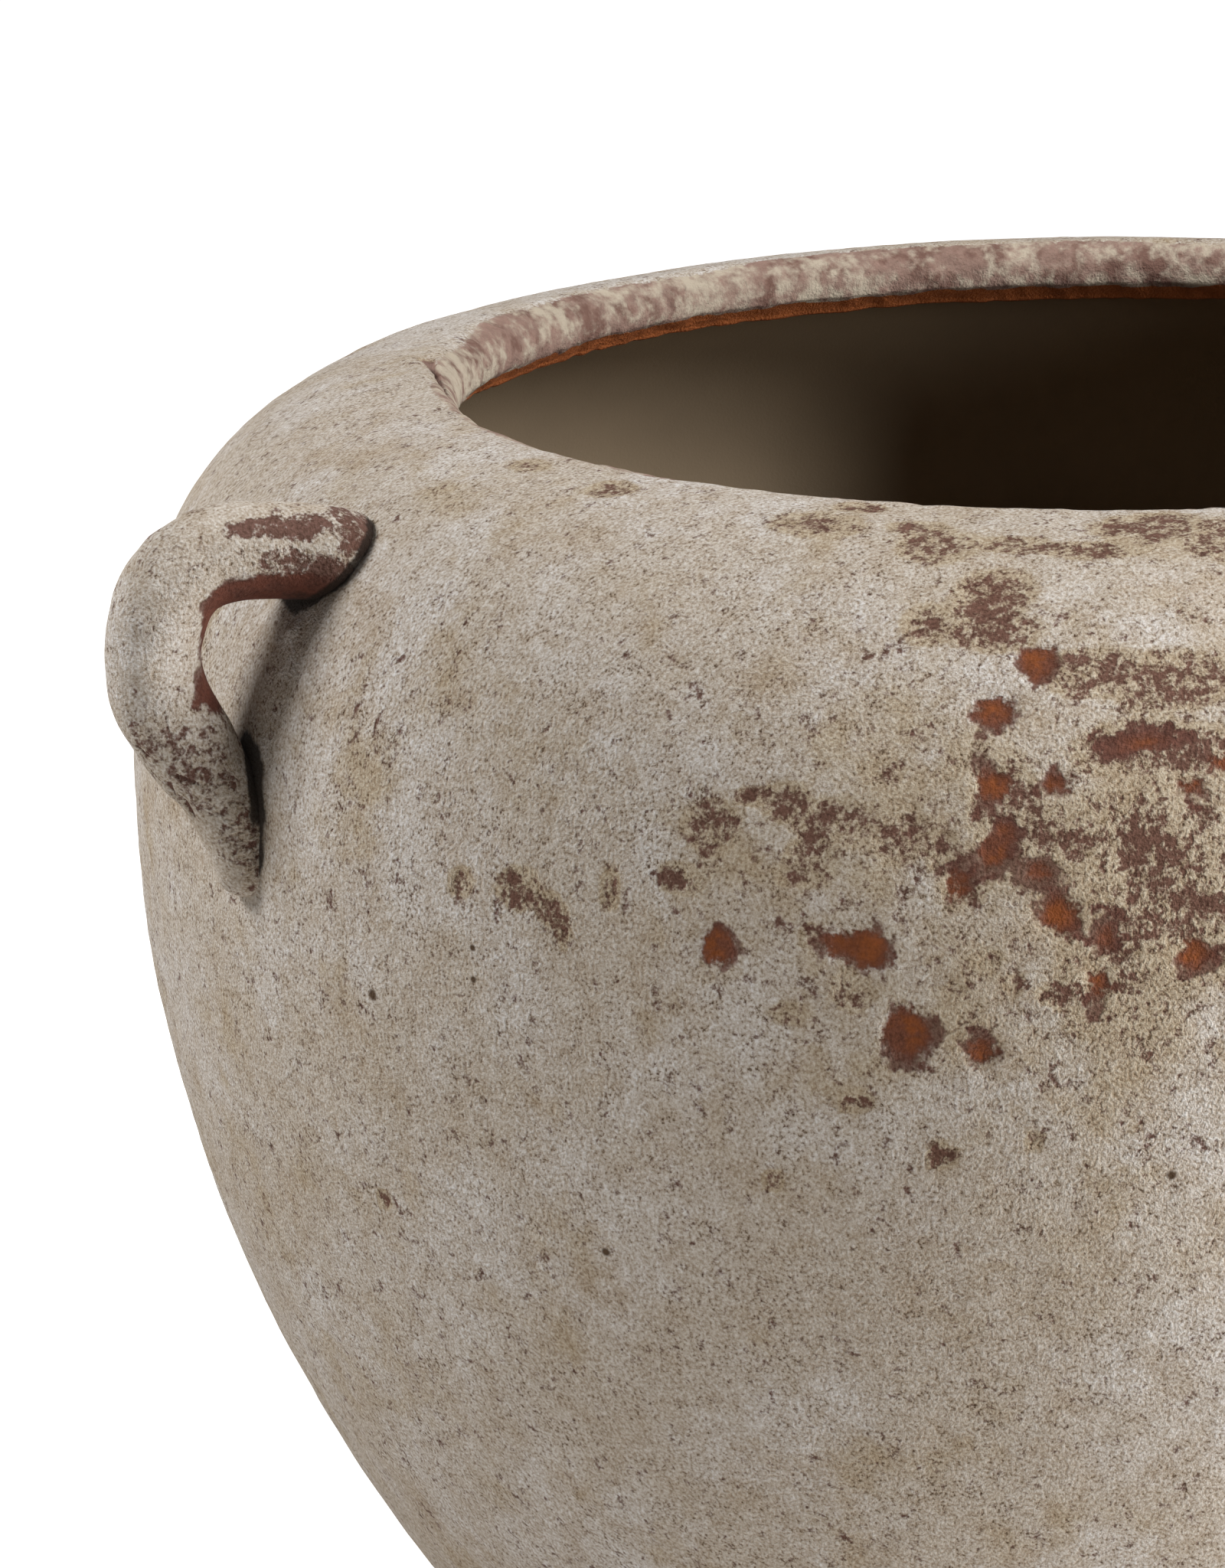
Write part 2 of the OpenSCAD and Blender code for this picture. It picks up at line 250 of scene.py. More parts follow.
class Section:
    """The vase's section as one line, from the middle of the underside over the lip to the floor's middle.

    `line` holds (reach, height) for each row and `start` the first row of each run. A run leaves out its last
    point, which is the first of the next run.
    """

    SMEAR_HEADING = -70
    UNDERSIDE_SHARE = 0.6
    POLE_REACH = 3 * MM

    def __init__(self, size):
        lower, shoulder, lip_centre = wall_curves(size)
        t = np.linspace(0, 1, CURVE_STEPS)
        lip_seam = float(np.interp(-(shoulder[3][0] + size.lip_width), -under(shoulder, t)[:, 0], t))
        slab_seam = place_at_height(lower, size.floor)
        foot_reach = size.foot_round * np.tan(np.radians(90 - size.foot_lean) / 2)
        foot_centre = np.array([size.base_radius - foot_reach, size.foot_round])
        foot_end = place_at_height(lower, foot_reach * np.cos(np.radians(size.foot_lean)))

        lip_end = 180 + size.lip_turn
        edge_low = under(shoulder, 1.0, size.wall)[1] - size.edge_drop
        edge_reach = size.mouth_radius + size.edge_back + size.edge_round
        edge_centre = np.array([edge_reach, edge_low + size.edge_round])
        edge_from = lip_centre + size.lip_round * heading(lip_end)
        edge_to = edge_centre + size.edge_round * heading(lip_end)
        underside_end = lip_seam + self.UNDERSIDE_SHARE * (1 - lip_seam)

        smear_depth = size.wall + size.smear
        smear_low = size.floor - size.smear * np.sin(np.radians(self.SMEAR_HEADING))
        smear_at = place_at_height(lower, smear_low, smear_depth)
        smear_centre = under(lower, smear_at, smear_depth)
        along = bend_along(lower, smear_at)
        smear_from = np.degrees(np.arctan2(-along[0], along[1]))
        smear_to = smear_centre + size.smear * heading(self.SMEAR_HEADING)

        self.slab_out = under(lower, slab_seam)[0]
        self.slab_in = under(lower, place_at_height(lower, size.floor, size.wall), size.wall)[0]
        # Each run's name, rows and shape
        runs = (
            ("underside", 10, straight([self.POLE_REACH, 0.0], [foot_centre[0], 0.0])),
            ("foot", 7, arc(foot_centre, size.foot_round, -90, -size.foot_lean)),
            ("slab_side", 5, wall_run(lower, foot_end, slab_seam)),
            ("lower_out", 98, wall_run(lower, slab_seam, 1)),
            ("shoulder_out", 70, wall_run(shoulder, 0, lip_seam)),
            ("lip_out", 13, wall_run(shoulder, lip_seam, 1)),
            ("lip_round", 22, arc(lip_centre, size.lip_round, 90 - size.lip_slope, lip_end)),
            ("bare_edge", 7, straight(edge_from, edge_to)),
            ("edge_round", 5, arc(edge_centre, size.edge_round, lip_end, 270)),
            ("lip_under", 3, straight([edge_reach, edge_low], under(shoulder, underside_end, size.wall))),
            ("lip_in", 4, wall_run(shoulder, underside_end, lip_seam, size.wall)),
            ("shoulder_in", 24, wall_run(shoulder, lip_seam, 0, size.wall)),
            ("lower_in", 24, wall_run(lower, 1, smear_at, size.wall)),
            ("smear", 6, arc(smear_centre, size.smear, smear_from, self.SMEAR_HEADING)),
            ("floor", 10, straight(smear_to, [self.POLE_REACH, size.floor])),
        )
        parts, self.start, row = [], {}, 0
        for name, count, run in runs:
            self.start[name] = row
            parts.append(run(np.arange(count) / count))
            row += count
        self.line = np.vstack([*parts, run(np.ones(1))])
        self.along = unit(np.gradient(self.line, axis=0))
        self.side = np.stack([self.along[:, 1], -self.along[:, 0]], axis=1)
        gaps = np.linalg.norm(np.diff(self.line, axis=0), axis=1)
        self.distance = np.concatenate([[0.0], np.cumsum(gaps)])

    def rows(self, first, last):
        """Rows from one run's start to another run's start."""
        return slice(self.start[first], self.start[last])

    def outer(self):
        """Rows of the outer face, from the foot to the lip's round."""
        return self.rows("foot", "bare_edge")

    def at_height(self, height, values):
        """Value of the outer face at a height, from one value for each row."""
        rows = self.rows("foot", "lip_round")
        return np.interp(height, self.line[rows, 1], values[rows])

    def distance_at_height(self, height):
        """Distance along the line to the place on the outer face at a height."""
        return self.at_height(height, self.distance)


# Repeatable unevenness


def lattice(x, y, z, seed):
    """Repeatable value from 0 to 1 at whole-number places: an integer mix of the place and the seed."""
    h = (x * 374761393 + y * 668265263 + z * 1442695041 + seed * 974634777) & 0xFFFFFFFF
    h = ((h ^ (h >> 13)) * 1274126177) & 0xFFFFFFFF
    h = ((h ^ (h >> 15)) * 668265263) & 0xFFFFFFFF
    return (h ^ (h >> 16)) / 0xFFFFFFFF


def lumps(place, size, seed):
    """Smooth noise from -1 to 1: values on a cubic lattice of a size, blended by 6f^5 - 15f^4 + 10f^3."""
    q = place / size
    cell = np.floor(q).astype(np.int64)
    f = q - cell
    f = f**3 * (f * (f * 6 - 15) + 10)
    total = 0.0
    for corner in np.ndindex(2, 2, 2):
        weight = np.prod(np.where(np.array(corner) == 1, f, 1 - f), axis=-1)
        total = total + weight * lattice(*np.moveaxis(cell + np.array(corner), -1, 0), seed)
    return 2 * total - 1


def layered(place, size, seed, layers=3):
    """Sum of such noises, each half the size and height of the one before, from about -1 to 1."""
    total = sum(lumps(place, size / 2**k, seed + 31 * k) / 2**k for k in range(layers))
    return total / (2 - 2 ** (1 - layers))


# Wear, as places on the vase: angle in degrees, height and half sizes in millimetres

# Chips where the red clay shows: angle, height, half width, half height
CHIPS = (
    (233.4, 234.6, 2.7, 3.4), (231.3, 228, 3.8, 2.6), (231.5, 217.8, 3.0, 3.0), (234.7, 218.2, 2.2, 2.0),
    (232.2, 211, 2.0, 2.6), (231.7, 208.6, 2.6, 3.2), (234, 205.8, 2.6, 1.8), (229.8, 203.4, 2.2, 2.8),
    (235, 199.5, 3.4, 3.0), (225.3, 193, 3.8, 3.6), (223.7, 193.6, 3.0, 2.2), (217, 191.6, 3.0, 3.2),
    (227.3, 180.4, 3.8, 4.2), (231.1, 177.6, 2.2, 2.2), (237, 189, 2.2, 3.0), (241.8, 193.3, 2.6, 2.4),
    (239.3, 224, 4.0, 1.4), (241.8, 218, 2.6, 1.6), (243.6, 221, 2.6, 2.2), (237.4, 195.9, 1.6, 2.6),
)

# Patches where the slip is worn to brown clay: angle, height, half width, half height, strength
PATCHES = (
    (230.5, 242, 6.5, 7.0, 0.9), (231, 238.5, 7.0, 4.0, 0.8), (227, 239, 4.5, 4.0, 0.7),
    (237.5, 233, 8.0, 4.0, 0.8), (240.5, 232, 9.0, 5.0, 0.8), (240.5, 223, 13.0, 4.5, 1.0),
    (239, 208, 6.0, 10.0, 0.9), (241.5, 200, 11.0, 4.5, 0.8), (232.3, 214, 5.5, 8.0, 0.9),
    (235, 211, 6.5, 4.5, 0.8), (230, 205, 5.0, 5.0, 0.6), (238, 195, 3.5, 5.0, 0.9),
    (235.5, 187, 5.5, 2.4, 0.8), (220.5, 214, 4.5, 3.2, 0.9), (223.5, 212, 9.0, 4.0, 0.72),
    (219.2, 214.5, 1.6, 1.6, 0.8), (226.9, 210.4, 5.0, 4.0, 0.75), (216.5, 209.5, 4.5, 4.0, 0.8),
    (222.0, 205.5, 4.5, 4.0, 0.6), (214.7, 200.7, 3.4, 2.6, 0.75), (210.8, 197.9, 1.8, 3.6, 0.75),
    (201.2, 195.3, 2.4, 2.6, 0.75), (205.2, 195.6, 4.6, 3.4, 0.85), (207, 193.6, 2.8, 3.0, 0.85),
    (207.9, 190.2, 1.6, 3.0, 0.65), (224.5, 186, 3.2, 3.0, 0.6), (221, 182, 3.4, 2.0, 0.5),
    (199.0, 249.1, 4.2, 3.4, 0.85), (219.2, 249.7, 4.5, 1.6, 0.85), (225.6, 247.8, 5.0, 2.0, 0.9),
    (189, 249.4, 5.0, 3.0, 0.4), (217, 248.3, 6.5, 4.0, 0.5), (226, 247, 7.0, 5.0, 0.55),
    (240, 249, 9.0, 6.0, 0.75), (224.5, 248.6, 5.0, 2.0, 0.7), (231, 247.5, 6.0, 2.5, 0.7),
    (236, 247.2, 8.0, 2.5, 0.7), (192.8, 137.1, 1.8, 1.6, 0.8), (224.6, 168.6, 2.6, 2.0, 0.8),
    (228.9, 160.7, 2.0, 1.8, 0.8), (233.7, 163.8, 1.8, 1.8, 0.75), (219.8, 154.7, 1.6, 1.6, 0.7),
    # The weak patches at 193 and 196.5 degrees, right of the handle, mostly turn the slip a darker tan
    (246, 248, 9.0, 7.0, 0.8), (193, 211, 8.0, 20.0, 0.16), (196.5, 222, 7.0, 9.0, 0.14),
    (234, 205, 62.0, 44.0, 0.15), (220.9, 203.6, 1.9, 1.6, 0.85), (222.2, 194.6, 1.3, 1.4, 0.8),
    (231.6, 192.1, 1.4, 1.2, 0.7), (232.8, 188.6, 1.3, 1.2, 0.7), (229.8, 187.7, 1.2, 1.2, 0.65),
    (228.9, 208.4, 3.0, 3.2, 0.8), (225.5, 219, 3.4, 2.4, 0.65), (234.9, 210, 3.6, 2.2, 0.85),
    (222.1, 207.9, 2.4, 1.8, 0.8), (218.3, 214.3, 1.3, 1.2, 0.8),
)

# Sides where the wear gathers: angle, height, half width, half height, strength
WORN_SIDES = (
    (247, 208, 66, 44, 1.2), (322, 168, 60, 50, 0.95), (62, 205, 80, 36, 0.95), (118, 120, 55, 40, 0.9),
)

# Chips on the sides that the wear gathers on, beyond the ones above: number, spread, half sizes
SCATTERED_CHIPS = 44
CHIP_SPREAD = 0.42
CHIP_HALVES = (1.4, 3.8)

# Large dark grains in the slip: angle, height, half size
SPOTS = (
    (194.3, 172.8, 1.05), (201.9, 184.6, 0.6), (202.1, 180, 0.6), (209.2, 138.7, 0.8), (240.8, 157.9, 0.8),
)

# Crumbs of slip that stick to the wall: angle, height, half size, rise
CRUMBS = ((183.1, 224.9, 1.5, 1.2), (186.2, 219.5, 1.0, 0.5))

# Lap of the lip coil's end: angles, and its near and far line in millimetres past the crest
LAP_TURNS = (144.5, 147, 149, 152.5, 157.5, 161)
LAP_NEAR = (-0.8, -0.1, 1.4, 3.0, 4.1, 4.6)
LAP_FAR = (1.6, 2.3, 3.0, 4.1, 4.75, 4.8)

# Painted values of every piece, and those of slip that is whole; the last of them is painted shade beside the
# handles
MARKS = ("bare", "worn", "inside", "band", "cream", "edge", "dirt")
UNCHIPPED, UNWORN = -8.0, -1.6

# Rows over which the outer finish gives way to the hollow's
INSIDE_ROWS = 2


def grid_normals(points):
    """Unit normals of a grid: the step across its closed columns crossed with the step along its rows."""
    across = np.roll(points, -1, axis=1) - np.roll(points, 1, axis=1)
    return unit(np.cross(across, np.gradient(points, axis=0)))


def swing(angle, middle=0.0):
    """Degrees of an angle in radians from a middle in degrees, between -180 and 180."""
    return (np.degrees(angle) - middle + 180) % 360 - 180


def window(turn, first, fade_in, last, fade_out):
    """1 between two angles, eased in after the first and out before the last."""
    return ease((turn - first) / fade_in) * ease((last - turn) / fade_out)


class ClayGrid:
    """The whole face of the vase as one grid: rows along the section's line, columns round the axis.

    A point is (r cos a, r sin a, z) of its row and column, moved out along the face by the unevenness.
    """

    def __init__(self, size, wear):
        self.size, self.wear = size, wear
        self.section = Section(size)
        self.rows = len(self.section.line)
        self.angle = 2 * np.pi * np.arange(LIP_COLUMNS) / LIP_COLUMNS
        self.base = self.turned(self.section.line)
        past_edge = np.arange(self.rows)[:, None] - self.section.start["lip_under"]
        self.inside = ease(past_edge / INSIDE_ROWS + 1) * np.ones(LIP_COLUMNS)
        self.bare, self.worn = self.find_wear()
        # Painted shade beside the handles
        self.dirt = self.find_crevice_shade()
        self.lip_marks()
        self.points = self.base + self.unevenness()[..., None] * self.turned(self.section.side)
        self.normals = grid_normals(self.points)

    def turned(self, pairs):
        """Grid of points from (reach, height) pairs: one row for each pair, one column for each angle."""
        reach, height = np.asarray(pairs, float).T[..., None]
        flat = reach * np.cos(self.angle), reach * np.sin(self.angle)
        return np.stack([*flat, height + 0 * self.angle], axis=2)

    def on_rows(self, rows, values, rest=0.0):
        """Values on some rows of the grid, and one value on the rest."""
        grid = np.full((self.rows, LIP_COLUMNS), rest)
        grid[rows] = values
        return grid

    def offset_from(self, angle, height):
        """Distances across and along the face from a place on its outside, in metres."""
        across = np.radians(swing(self.angle, angle))[None, :] * self.section.line[:, :1]
        along = self.section.distance - self.section.distance_at_height(height * MM)
        return across, along[:, None]

    def far_from(self, angle, height, wide, tall):
        """Distance on the outer face from a place, counted in half widths and half heights."""
        across, along = self.offset_from(angle, height)
        outside = self.section.outer()
        return np.hypot(across[outside] / (wide * MM), along[outside] / (tall * MM))

    def find_wear(self):
        """How deep a place lies in a chip, in millimetres, and how far the slip is worn: over 0 where gone.

        A chip is an ellipse: its depth is (1 - distance in half sizes) times its smaller half size. Wear is
        the larger of soft patches and of layered noise where the wear gathers.
        """
        outside, seed = self.section.outer(), self.wear.seed
        place = self.base[outside]
        ragged = layered(place, 9 * MM, seed + 1)
        gathered = 0.0
        for *side, strength in WORN_SIDES:
            gathered = np.maximum(gathered, strength * ease(1.25 - self.far_from(*side)))
        field = gathered + 0.95 * layered(place, 26 * MM, seed + 2, 4) - 1.45
        for *patch, strength in PATCHES:
            soft = ease(1.45 - self.far_from(*patch) - 0.45 * ragged)
            field = np.maximum(field, strength * 1.75 * soft - 0.85)

        draw = np.random.default_rng(seed)
        side = draw.integers(1, len(WORN_SIDES), SCATTERED_CHIPS)
        angles, heights, wides, talls, _ = np.array(WORN_SIDES, float)[side].T
        reach = self.size.belly_radius / MM - 10
        angles = angles + np.degrees(draw.normal(0, CHIP_SPREAD, SCATTERED_CHIPS) * wides / reach)
        heights = heights + draw.normal(0, CHIP_SPREAD, SCATTERED_CHIPS) * talls
        halves = draw.uniform(*CHIP_HALVES, (SCATTERED_CHIPS, 2))
        depth = UNCHIPPED
        for chip in (*CHIPS, *np.column_stack([angles, heights, halves])):
            inside = 1 - self.far_from(*chip) - 0.3 * ragged
            depth = np.maximum(depth, inside * min(chip[2:]))
        return self.on_rows(outside, depth, UNCHIPPED), self.on_rows(outside, field, UNWORN)

    def find_crevice_shade(self):
        """Painted shade in the crevice beside a coil pressed on the wall: 1 at its side, gone about 5 mm away
        from it.

        The smeared side of the tail holds none.
        """
        handles = bpy.context.scene.vase_handles
        arm, tail = handle_bends(self.section, self.size, handles)
        t_arm, t_tail = np.linspace(0, 0.3, 10), np.linspace(0.2, 0.9, 28)
        u = np.concatenate([t_arm, 1 + t_tail])
        flat = np.concatenate([bend(arm, t_arm), bend(tail, t_tail)])
        spine = np.stack([flat[:, 0], handle_lean(handles, u), flat[:, 1]], axis=1)
        outside = self.section.outer()
        rows = np.arange(self.rows)[outside]
        dirt = self.on_rows(outside, 0.0)
        for side, middle in ((1.0, 0.0), (-1.0, 180.0)):
            columns = np.flatnonzero(np.abs(swing(self.angle, middle)) < 20)
            face = self.base[outside][:, columns]
            place = face * np.array([side, -1.0, 1.0])
            gap = 1.0
            for point, radius, along in zip(spine, handle_radius(handles, u), u):
                off = place - point
                smeared = 1.5 * np.maximum(-off[..., 1], 0) * (along > 1)
                gap = np.minimum(gap, np.linalg.norm(off, axis=2) - radius + smeared)
            ragged = layered(face, 6 * MM, self.wear.seed + 6)
            dirt[np.ix_(rows, columns)] = ease((3.5 * MM + 1.2 * MM * ragged - gap) / (3 * MM))
        return dirt

    def lip_marks(self):
        """Marks of the lip: its mauve band, cream runs on it, the bare edge, and the lap of the coil's end.

        Runs are noise that is stretched along the section. The lap is a wedge between two lines that close
        in on each other as they cross the lip, with the coil's rounded end beside it.
        """
        start, seed = self.section.start, self.wear.seed
        far, turn = self.section.distance[:, None], np.degrees(self.angle)
        crest, edge = far[start["lip_round"]], far[start["bare_edge"]]
        width = edge - crest
        lip = slice(start["lip_out"], start["shoulder_in"] + 1)
        face = self.base[lip]
        drawn_out = face.copy()
        drawn_out[..., 2] = far[lip] * 0.75
        slow = self.on_rows(lip, lumps(drawn_out, 19 * MM, seed + 5))
        runs = 0.6 * layered(drawn_out, 6.5 * MM, seed + 8, 2)
        runs += 0.65 * layered(drawn_out, 2.3 * MM, seed + 3, 2)
        self.cream = 0.25 * slow + self.on_rows(lip, runs)
        band_from = crest + (0.06 + 0.12 * slow) * width
        self.band = ease((far - band_from) / (0.25 * width)) * (far < edge + 12 * MM)
        ragged = self.on_rows(lip, layered(face, 5 * MM, seed + 4))
        edge_from = edge + (1.1 + 1.3 * ragged) * MM
        edge_to = far[start["lip_under"]] + (1.0 + 0.8 * ragged) * MM
        self.edge = ease((far - edge_from) / (0.9 * MM) + 0.5) * ease((edge_to - far) / (0.8 * MM) + 0.5)
        broken = window(turn, 132, 8, 176, 10)
        self.edge[lip] *= 1 - broken * ease(0.6 + 2.2 * lumps(face, 6 * MM, seed + 7))

        past = (far - crest) / MM
        near, away = np.interp(turn, LAP_TURNS, LAP_NEAR), np.interp(turn, LAP_TURNS, LAP_FAR)
        wedge = ease((past - near) / 0.5 + 0.5) * ease((away - past) / 0.5 + 0.5)
        self.lap_groove = wedge * window(turn, 143.5, 3, 161, 3)
        self.lap_ridge = np.exp(-(((past - near + 2.3) / 2.0) ** 2)) * window(turn, 141, 6, 174, 12)
        self.cream += 0.25 * window(turn, 136, 8, 178, 10) - 1.8 * self.lap_groove
        self.band = np.maximum(self.band, self.lap_groove)

    def unevenness(self):
        """Height of the face over its plain form: wobble, dents, lumps, the step to bare clay and the lap."""
        section, wear, seed = self.section, self.wear, self.wear.seed
        rise = wear.wobble * lumps(self.base, 120 * MM, seed + 11)
        rise += wear.dents * lumps(self.base, 31 * MM, seed + 12)
        fine = section.rows("foot", "lip_in")
        place = self.base[fine]
        small = layered(place, 11 * MM, seed + 13, 3) + 0.5 * lumps(place, 3.2 * MM, seed + 14)
        rise[fine] += wear.lumps * small
        gone = np.maximum(0.55 * ease((self.worn + 0.5) / 0.9), ease((self.bare + 0.8) / 1.6))
        rise -= wear.slip_depth * gone
        for angle, height, half, up in CRUMBS:
            across, along = self.offset_from(angle, height)
            rise += up * MM * np.exp(-((across**2 + along**2) / (half * MM) ** 2)) * (self.inside < 0.5)
        lip = section.rows("lip_out", "lip_in")
        crumbs = self.on_rows(lip, lumps(self.base[lip], 2.6 * MM, seed + 15))
        rise += 0.22 * MM * crumbs * np.maximum(self.edge, self.band)
        rise += 0.8 * MM * self.lap_ridge - 1.1 * MM * self.lap_groove
        reach, height = section.line.T[..., None]
        on_floor = np.arange(self.rows)[:, None] >= section.start["floor"]
        flat = on_floor * ease((reach - 60 * MM) / (10 * MM))
        return rise * (1 - flat) * ease(height / (10 * MM))

    def marks(self):
        """Painted values of every point, by name."""
        marks = {mark: getattr(self, mark) for mark in MARKS}
        marks["worn"] = np.maximum(self.worn, UNWORN + 2.2 * self.lap_groove)
        return marks


@functools.lru_cache(maxsize=1)
def clay_grid():
    """The grid that all the turned pieces share, made once."""
    scene = bpy.context.scene
    return ClayGrid(scene.vase_size, scene.vase_wear)


def joint_rows(grid, outer, inner, step):
    """Three rows of the V joint across the wall: near land, the key's depth at the middle, and far land."""
    size = grid.size
    a, b = grid.points[outer][::step], grid.points[inner][::step]
    land = size.key_land / size.wall
    down = grid.turned(grid.section.along[outer][None])[0][::step]
    return np.stack([a + land * (b - a), (a + b) / 2 - size.key_depth * down, b + land * (a - b)])


def slab_rows(grid, step):
    """Three rows of the V joint on top of the slab, under the foot of the wall."""
    size, section = grid.size, grid.section
    outer, inner = section.slab_out - size.key_land, section.slab_in + size.key_land
    middle = (section.slab_out + section.slab_in) / 2
    pairs = [[outer, size.floor], [middle, size.floor - size.key_depth], [inner, size.floor]]
    return grid.turned(pairs)[:, ::step]


def place_object(name, data):
    """New object in the scene."""
    thing = bpy.data.objects.new(name, data)
    bpy.context.scene.collection.objects.link(thing)
    return thing


def make_piece(name, points, normals, smooth, marks, closed):
    """Piece from rows of points that are closed across, and along too or else capped at both ends.

    `smooth` says for each strip between two rows whether it takes the given normals or its own flat ones.
    """
    rows, columns = points.shape[:2]
    strips = rows if closed else rows - 1
    index = np.arange(rows * columns).reshape(rows, columns)
    low, high = index[:strips], np.roll(index, -1, axis=0)[:strips]
    corners = np.stack([low, np.roll(low, -1, axis=1), np.roll(high, -1, axis=1), high], axis=-1)
    spots = points.reshape(-1, 3)
    a, b, c, d = np.moveaxis(spots[corners], 2, 0)
    face = unit(np.cross(c - a, d - b))
    smooth = np.array(smooth[:strips])[:, None, None, None]
    normals = np.where(smooth, normals.reshape(-1, 3)[corners], face[:, :, None]).reshape(-1, 3)
    marks = {mark: values.ravel() for mark, values in marks.items()}
    fans = np.empty((0, 3), int)
    if not closed:
        first = np.full(columns, len(spots))
        spots = np.concatenate([spots, [points[0].mean(axis=0), points[-1].mean(axis=0)]])
        marks = {mark: np.append(values, [values[0], values[-1]]) for mark, values in marks.items()}
        bottom = np.stack([first, np.roll(index[0], -1), index[0]], axis=1)
        top = np.stack([first + 1, index[-1], np.roll(index[-1], -1)], axis=1)
        fans = np.concatenate([bottom, top])
        a, b, c = np.moveaxis(spots[fans], 1, 0)
        normals = np.concatenate([normals, np.repeat(unit(np.cross(b - a, c - a)), 3, axis=0)])

    mesh = bpy.data.meshes.new(name)
    quads = corners.size // 4
    loops = np.concatenate([corners.ravel(), fans.ravel()])
    starts = np.concatenate([np.arange(quads) * 4, quads * 4 + np.arange(len(fans)) * 3])
    mesh.vertices.add(len(spots))
    mesh.vertices.foreach_set("co", spots.astype(np.float32).ravel())
    mesh.loops.add(len(loops))
    mesh.loops.foreach_set("vertex_index", loops.astype(np.int32))
    mesh.polygons.add(len(starts))
    mesh.polygons.foreach_set("loop_start", starts.astype(np.int32))
    mesh.update(calc_edges=True)
    mesh.polygons.foreach_set("use_smooth", np.ones(len(starts), bool))
    for mark, values in marks.items():
        painted = mesh.attributes.new(mark, "FLOAT", "POINT")
        painted.data.foreach_set("value", values.astype(np.float32))
    mesh.normals_split_custom_set(normals.astype(np.float32))
    return place_object(name, mesh)


def turned_piece(name, grid, parts, step, closed):
    """Piece from parts of the grid, as pairs of first and last row, and hidden joints, as arrays."""
    painted = grid.marks()
    points, normals, smooth, marks = [], [], [], {mark: [] for mark in MARKS}
    for part in parts:
        seen = isinstance(part, tuple)
        rows = slice(part[0], part[1] + 1) if seen else None
        points.append(grid.points[rows, ::step] if seen else part)
        normals.append(grid.normals[rows, ::step] if seen else np.zeros_like(part))
        smooth += [seen] * (len(points[-1]) - 1) + [False]
        for mark in MARKS:
            marks[mark].append(painted[mark][rows, ::step] if seen else np.zeros(part.shape[:2]))
    marks = {mark: np.concatenate(values) for mark, values in marks.items()}
    return make_piece(name, np.concatenate(points), np.concatenate(normals), smooth, marks, closed)


def dress(piece, node, material):
    """Makes a piece stand for its CAD node: puts it on the body, gives it its material and hides the node."""
    piece.data.materials.append(material)
    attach(piece, BODY)
    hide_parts(node)


# Handles: a place along the coil is 0 at the arm's end, 1 at the outermost point and 2 at the tail's tip

# Points round the coil, and rows of the stub inside the wall, the arm, the tail and its rounded tip
HANDLE_SIDES = 110
STUB_ROWS, ARM_ROWS, TAIL_ROWS, TIP_ROWS = 8, 64, 92, 8
STUB_LENGTH = 5 * MM
# Where the arm is full and where the tail's taper begins
ARM_FULL_AT, TAPER_FROM = 0.3, 1.2
# Rounding and swelling of the arm's end, reach of the tail's smear, depth of the coil under the wall's face
ARM_RIM, ARM_SWELL, TAIL_SMEAR, SUNK = 1.2 * MM, 2.4 * MM, 5.5 * MM, 1.3 * MM

# Creases left by the fingers: place along the coil and round it in degrees at both ends, half width in mm
CREASES = (
    (1.3, 13, 1.37, 23, 0.4), (1.5, 23, 1.6, 10, 0.45), (1.61, 23, 1.75, 10, 0.55), (1.46, 39, 1.57, 62, 0.4),
    (0.19, 13, 0.08, 3, 0.35),
)
CREASE_DEPTH = 0.7 * MM
# Lengths of one step along and of one degree round the coil
COIL_STEP, COIL_DEGREE = 40 * MM, 0.125 * MM

# Worn patches of a handle: place along and round the coil, half sizes, strength
HANDLE_PATCHES = (
    (0.25, 51, 0.24, 15, 1.55), (0.03, 50, 0.08, 30, 1.5), (0.15, 100, 0.24, 20, 1.4),
    (1.42, 70, 0.24, 60, 0.74), (1.2, 150, 0.3, 26, 0.75), (1.75, 80, 0.3, 36, 0.72),
    (0.8, -60, 0.3, 40, 0.5),
)


def handle_radius(handles, u):
    """Radius of the coil along its centre line: a little less at the arm's end, tapered along the tail."""
    full = handles.arm_end + (handles.coil - handles.arm_end) * ease(u / ARM_FULL_AT)
    taper = np.clip((u - TAPER_FROM) / (2 - TAPER_FROM), 0, 1)
    return (full - (handles.coil - handles.tail_tip) * taper**2) / 2


def handle_lean(handles, u):
    """Lean of the centre line out of its plane: L (1 - ease(u)) on the arm, T ease(u - 1) on the tail."""
    return handles.arm_lean * (1 - ease(u)) + handles.tail_lean * ease(u - 1)


def handle_bends(section, size, handles):
    """Two curves of a handle's centre line in its plane: arm to the outermost point, and on to the tail."""

    def by_wall(drop, out=0.0):
        """Point at a depth below the top of the lip and at a distance out from the wall."""
        height = size.top_height - drop
        return np.array([section.at_height(height, section.line[:, 0]) + out, height])

    root = by_wall(handles.arm_drop)
    side = by_wall(handles.loop_drop, handles.finger_gap + handles.coil / 2)
    tail_in = by_wall(handles.tail_drop - handles.tail_pull, handles.tail_lift)
    tip = by_wall(handles.tail_drop, -handles.tail_sink)
    up = np.array([0.0, 1.0])
    arm = [root, root + handles.arm_pull * heading(handles.arm_rise), side + handles.loop_pull_up * up, side]
    return arm, [side, side - handles.loop_pull_down * up, tail_in, tip]


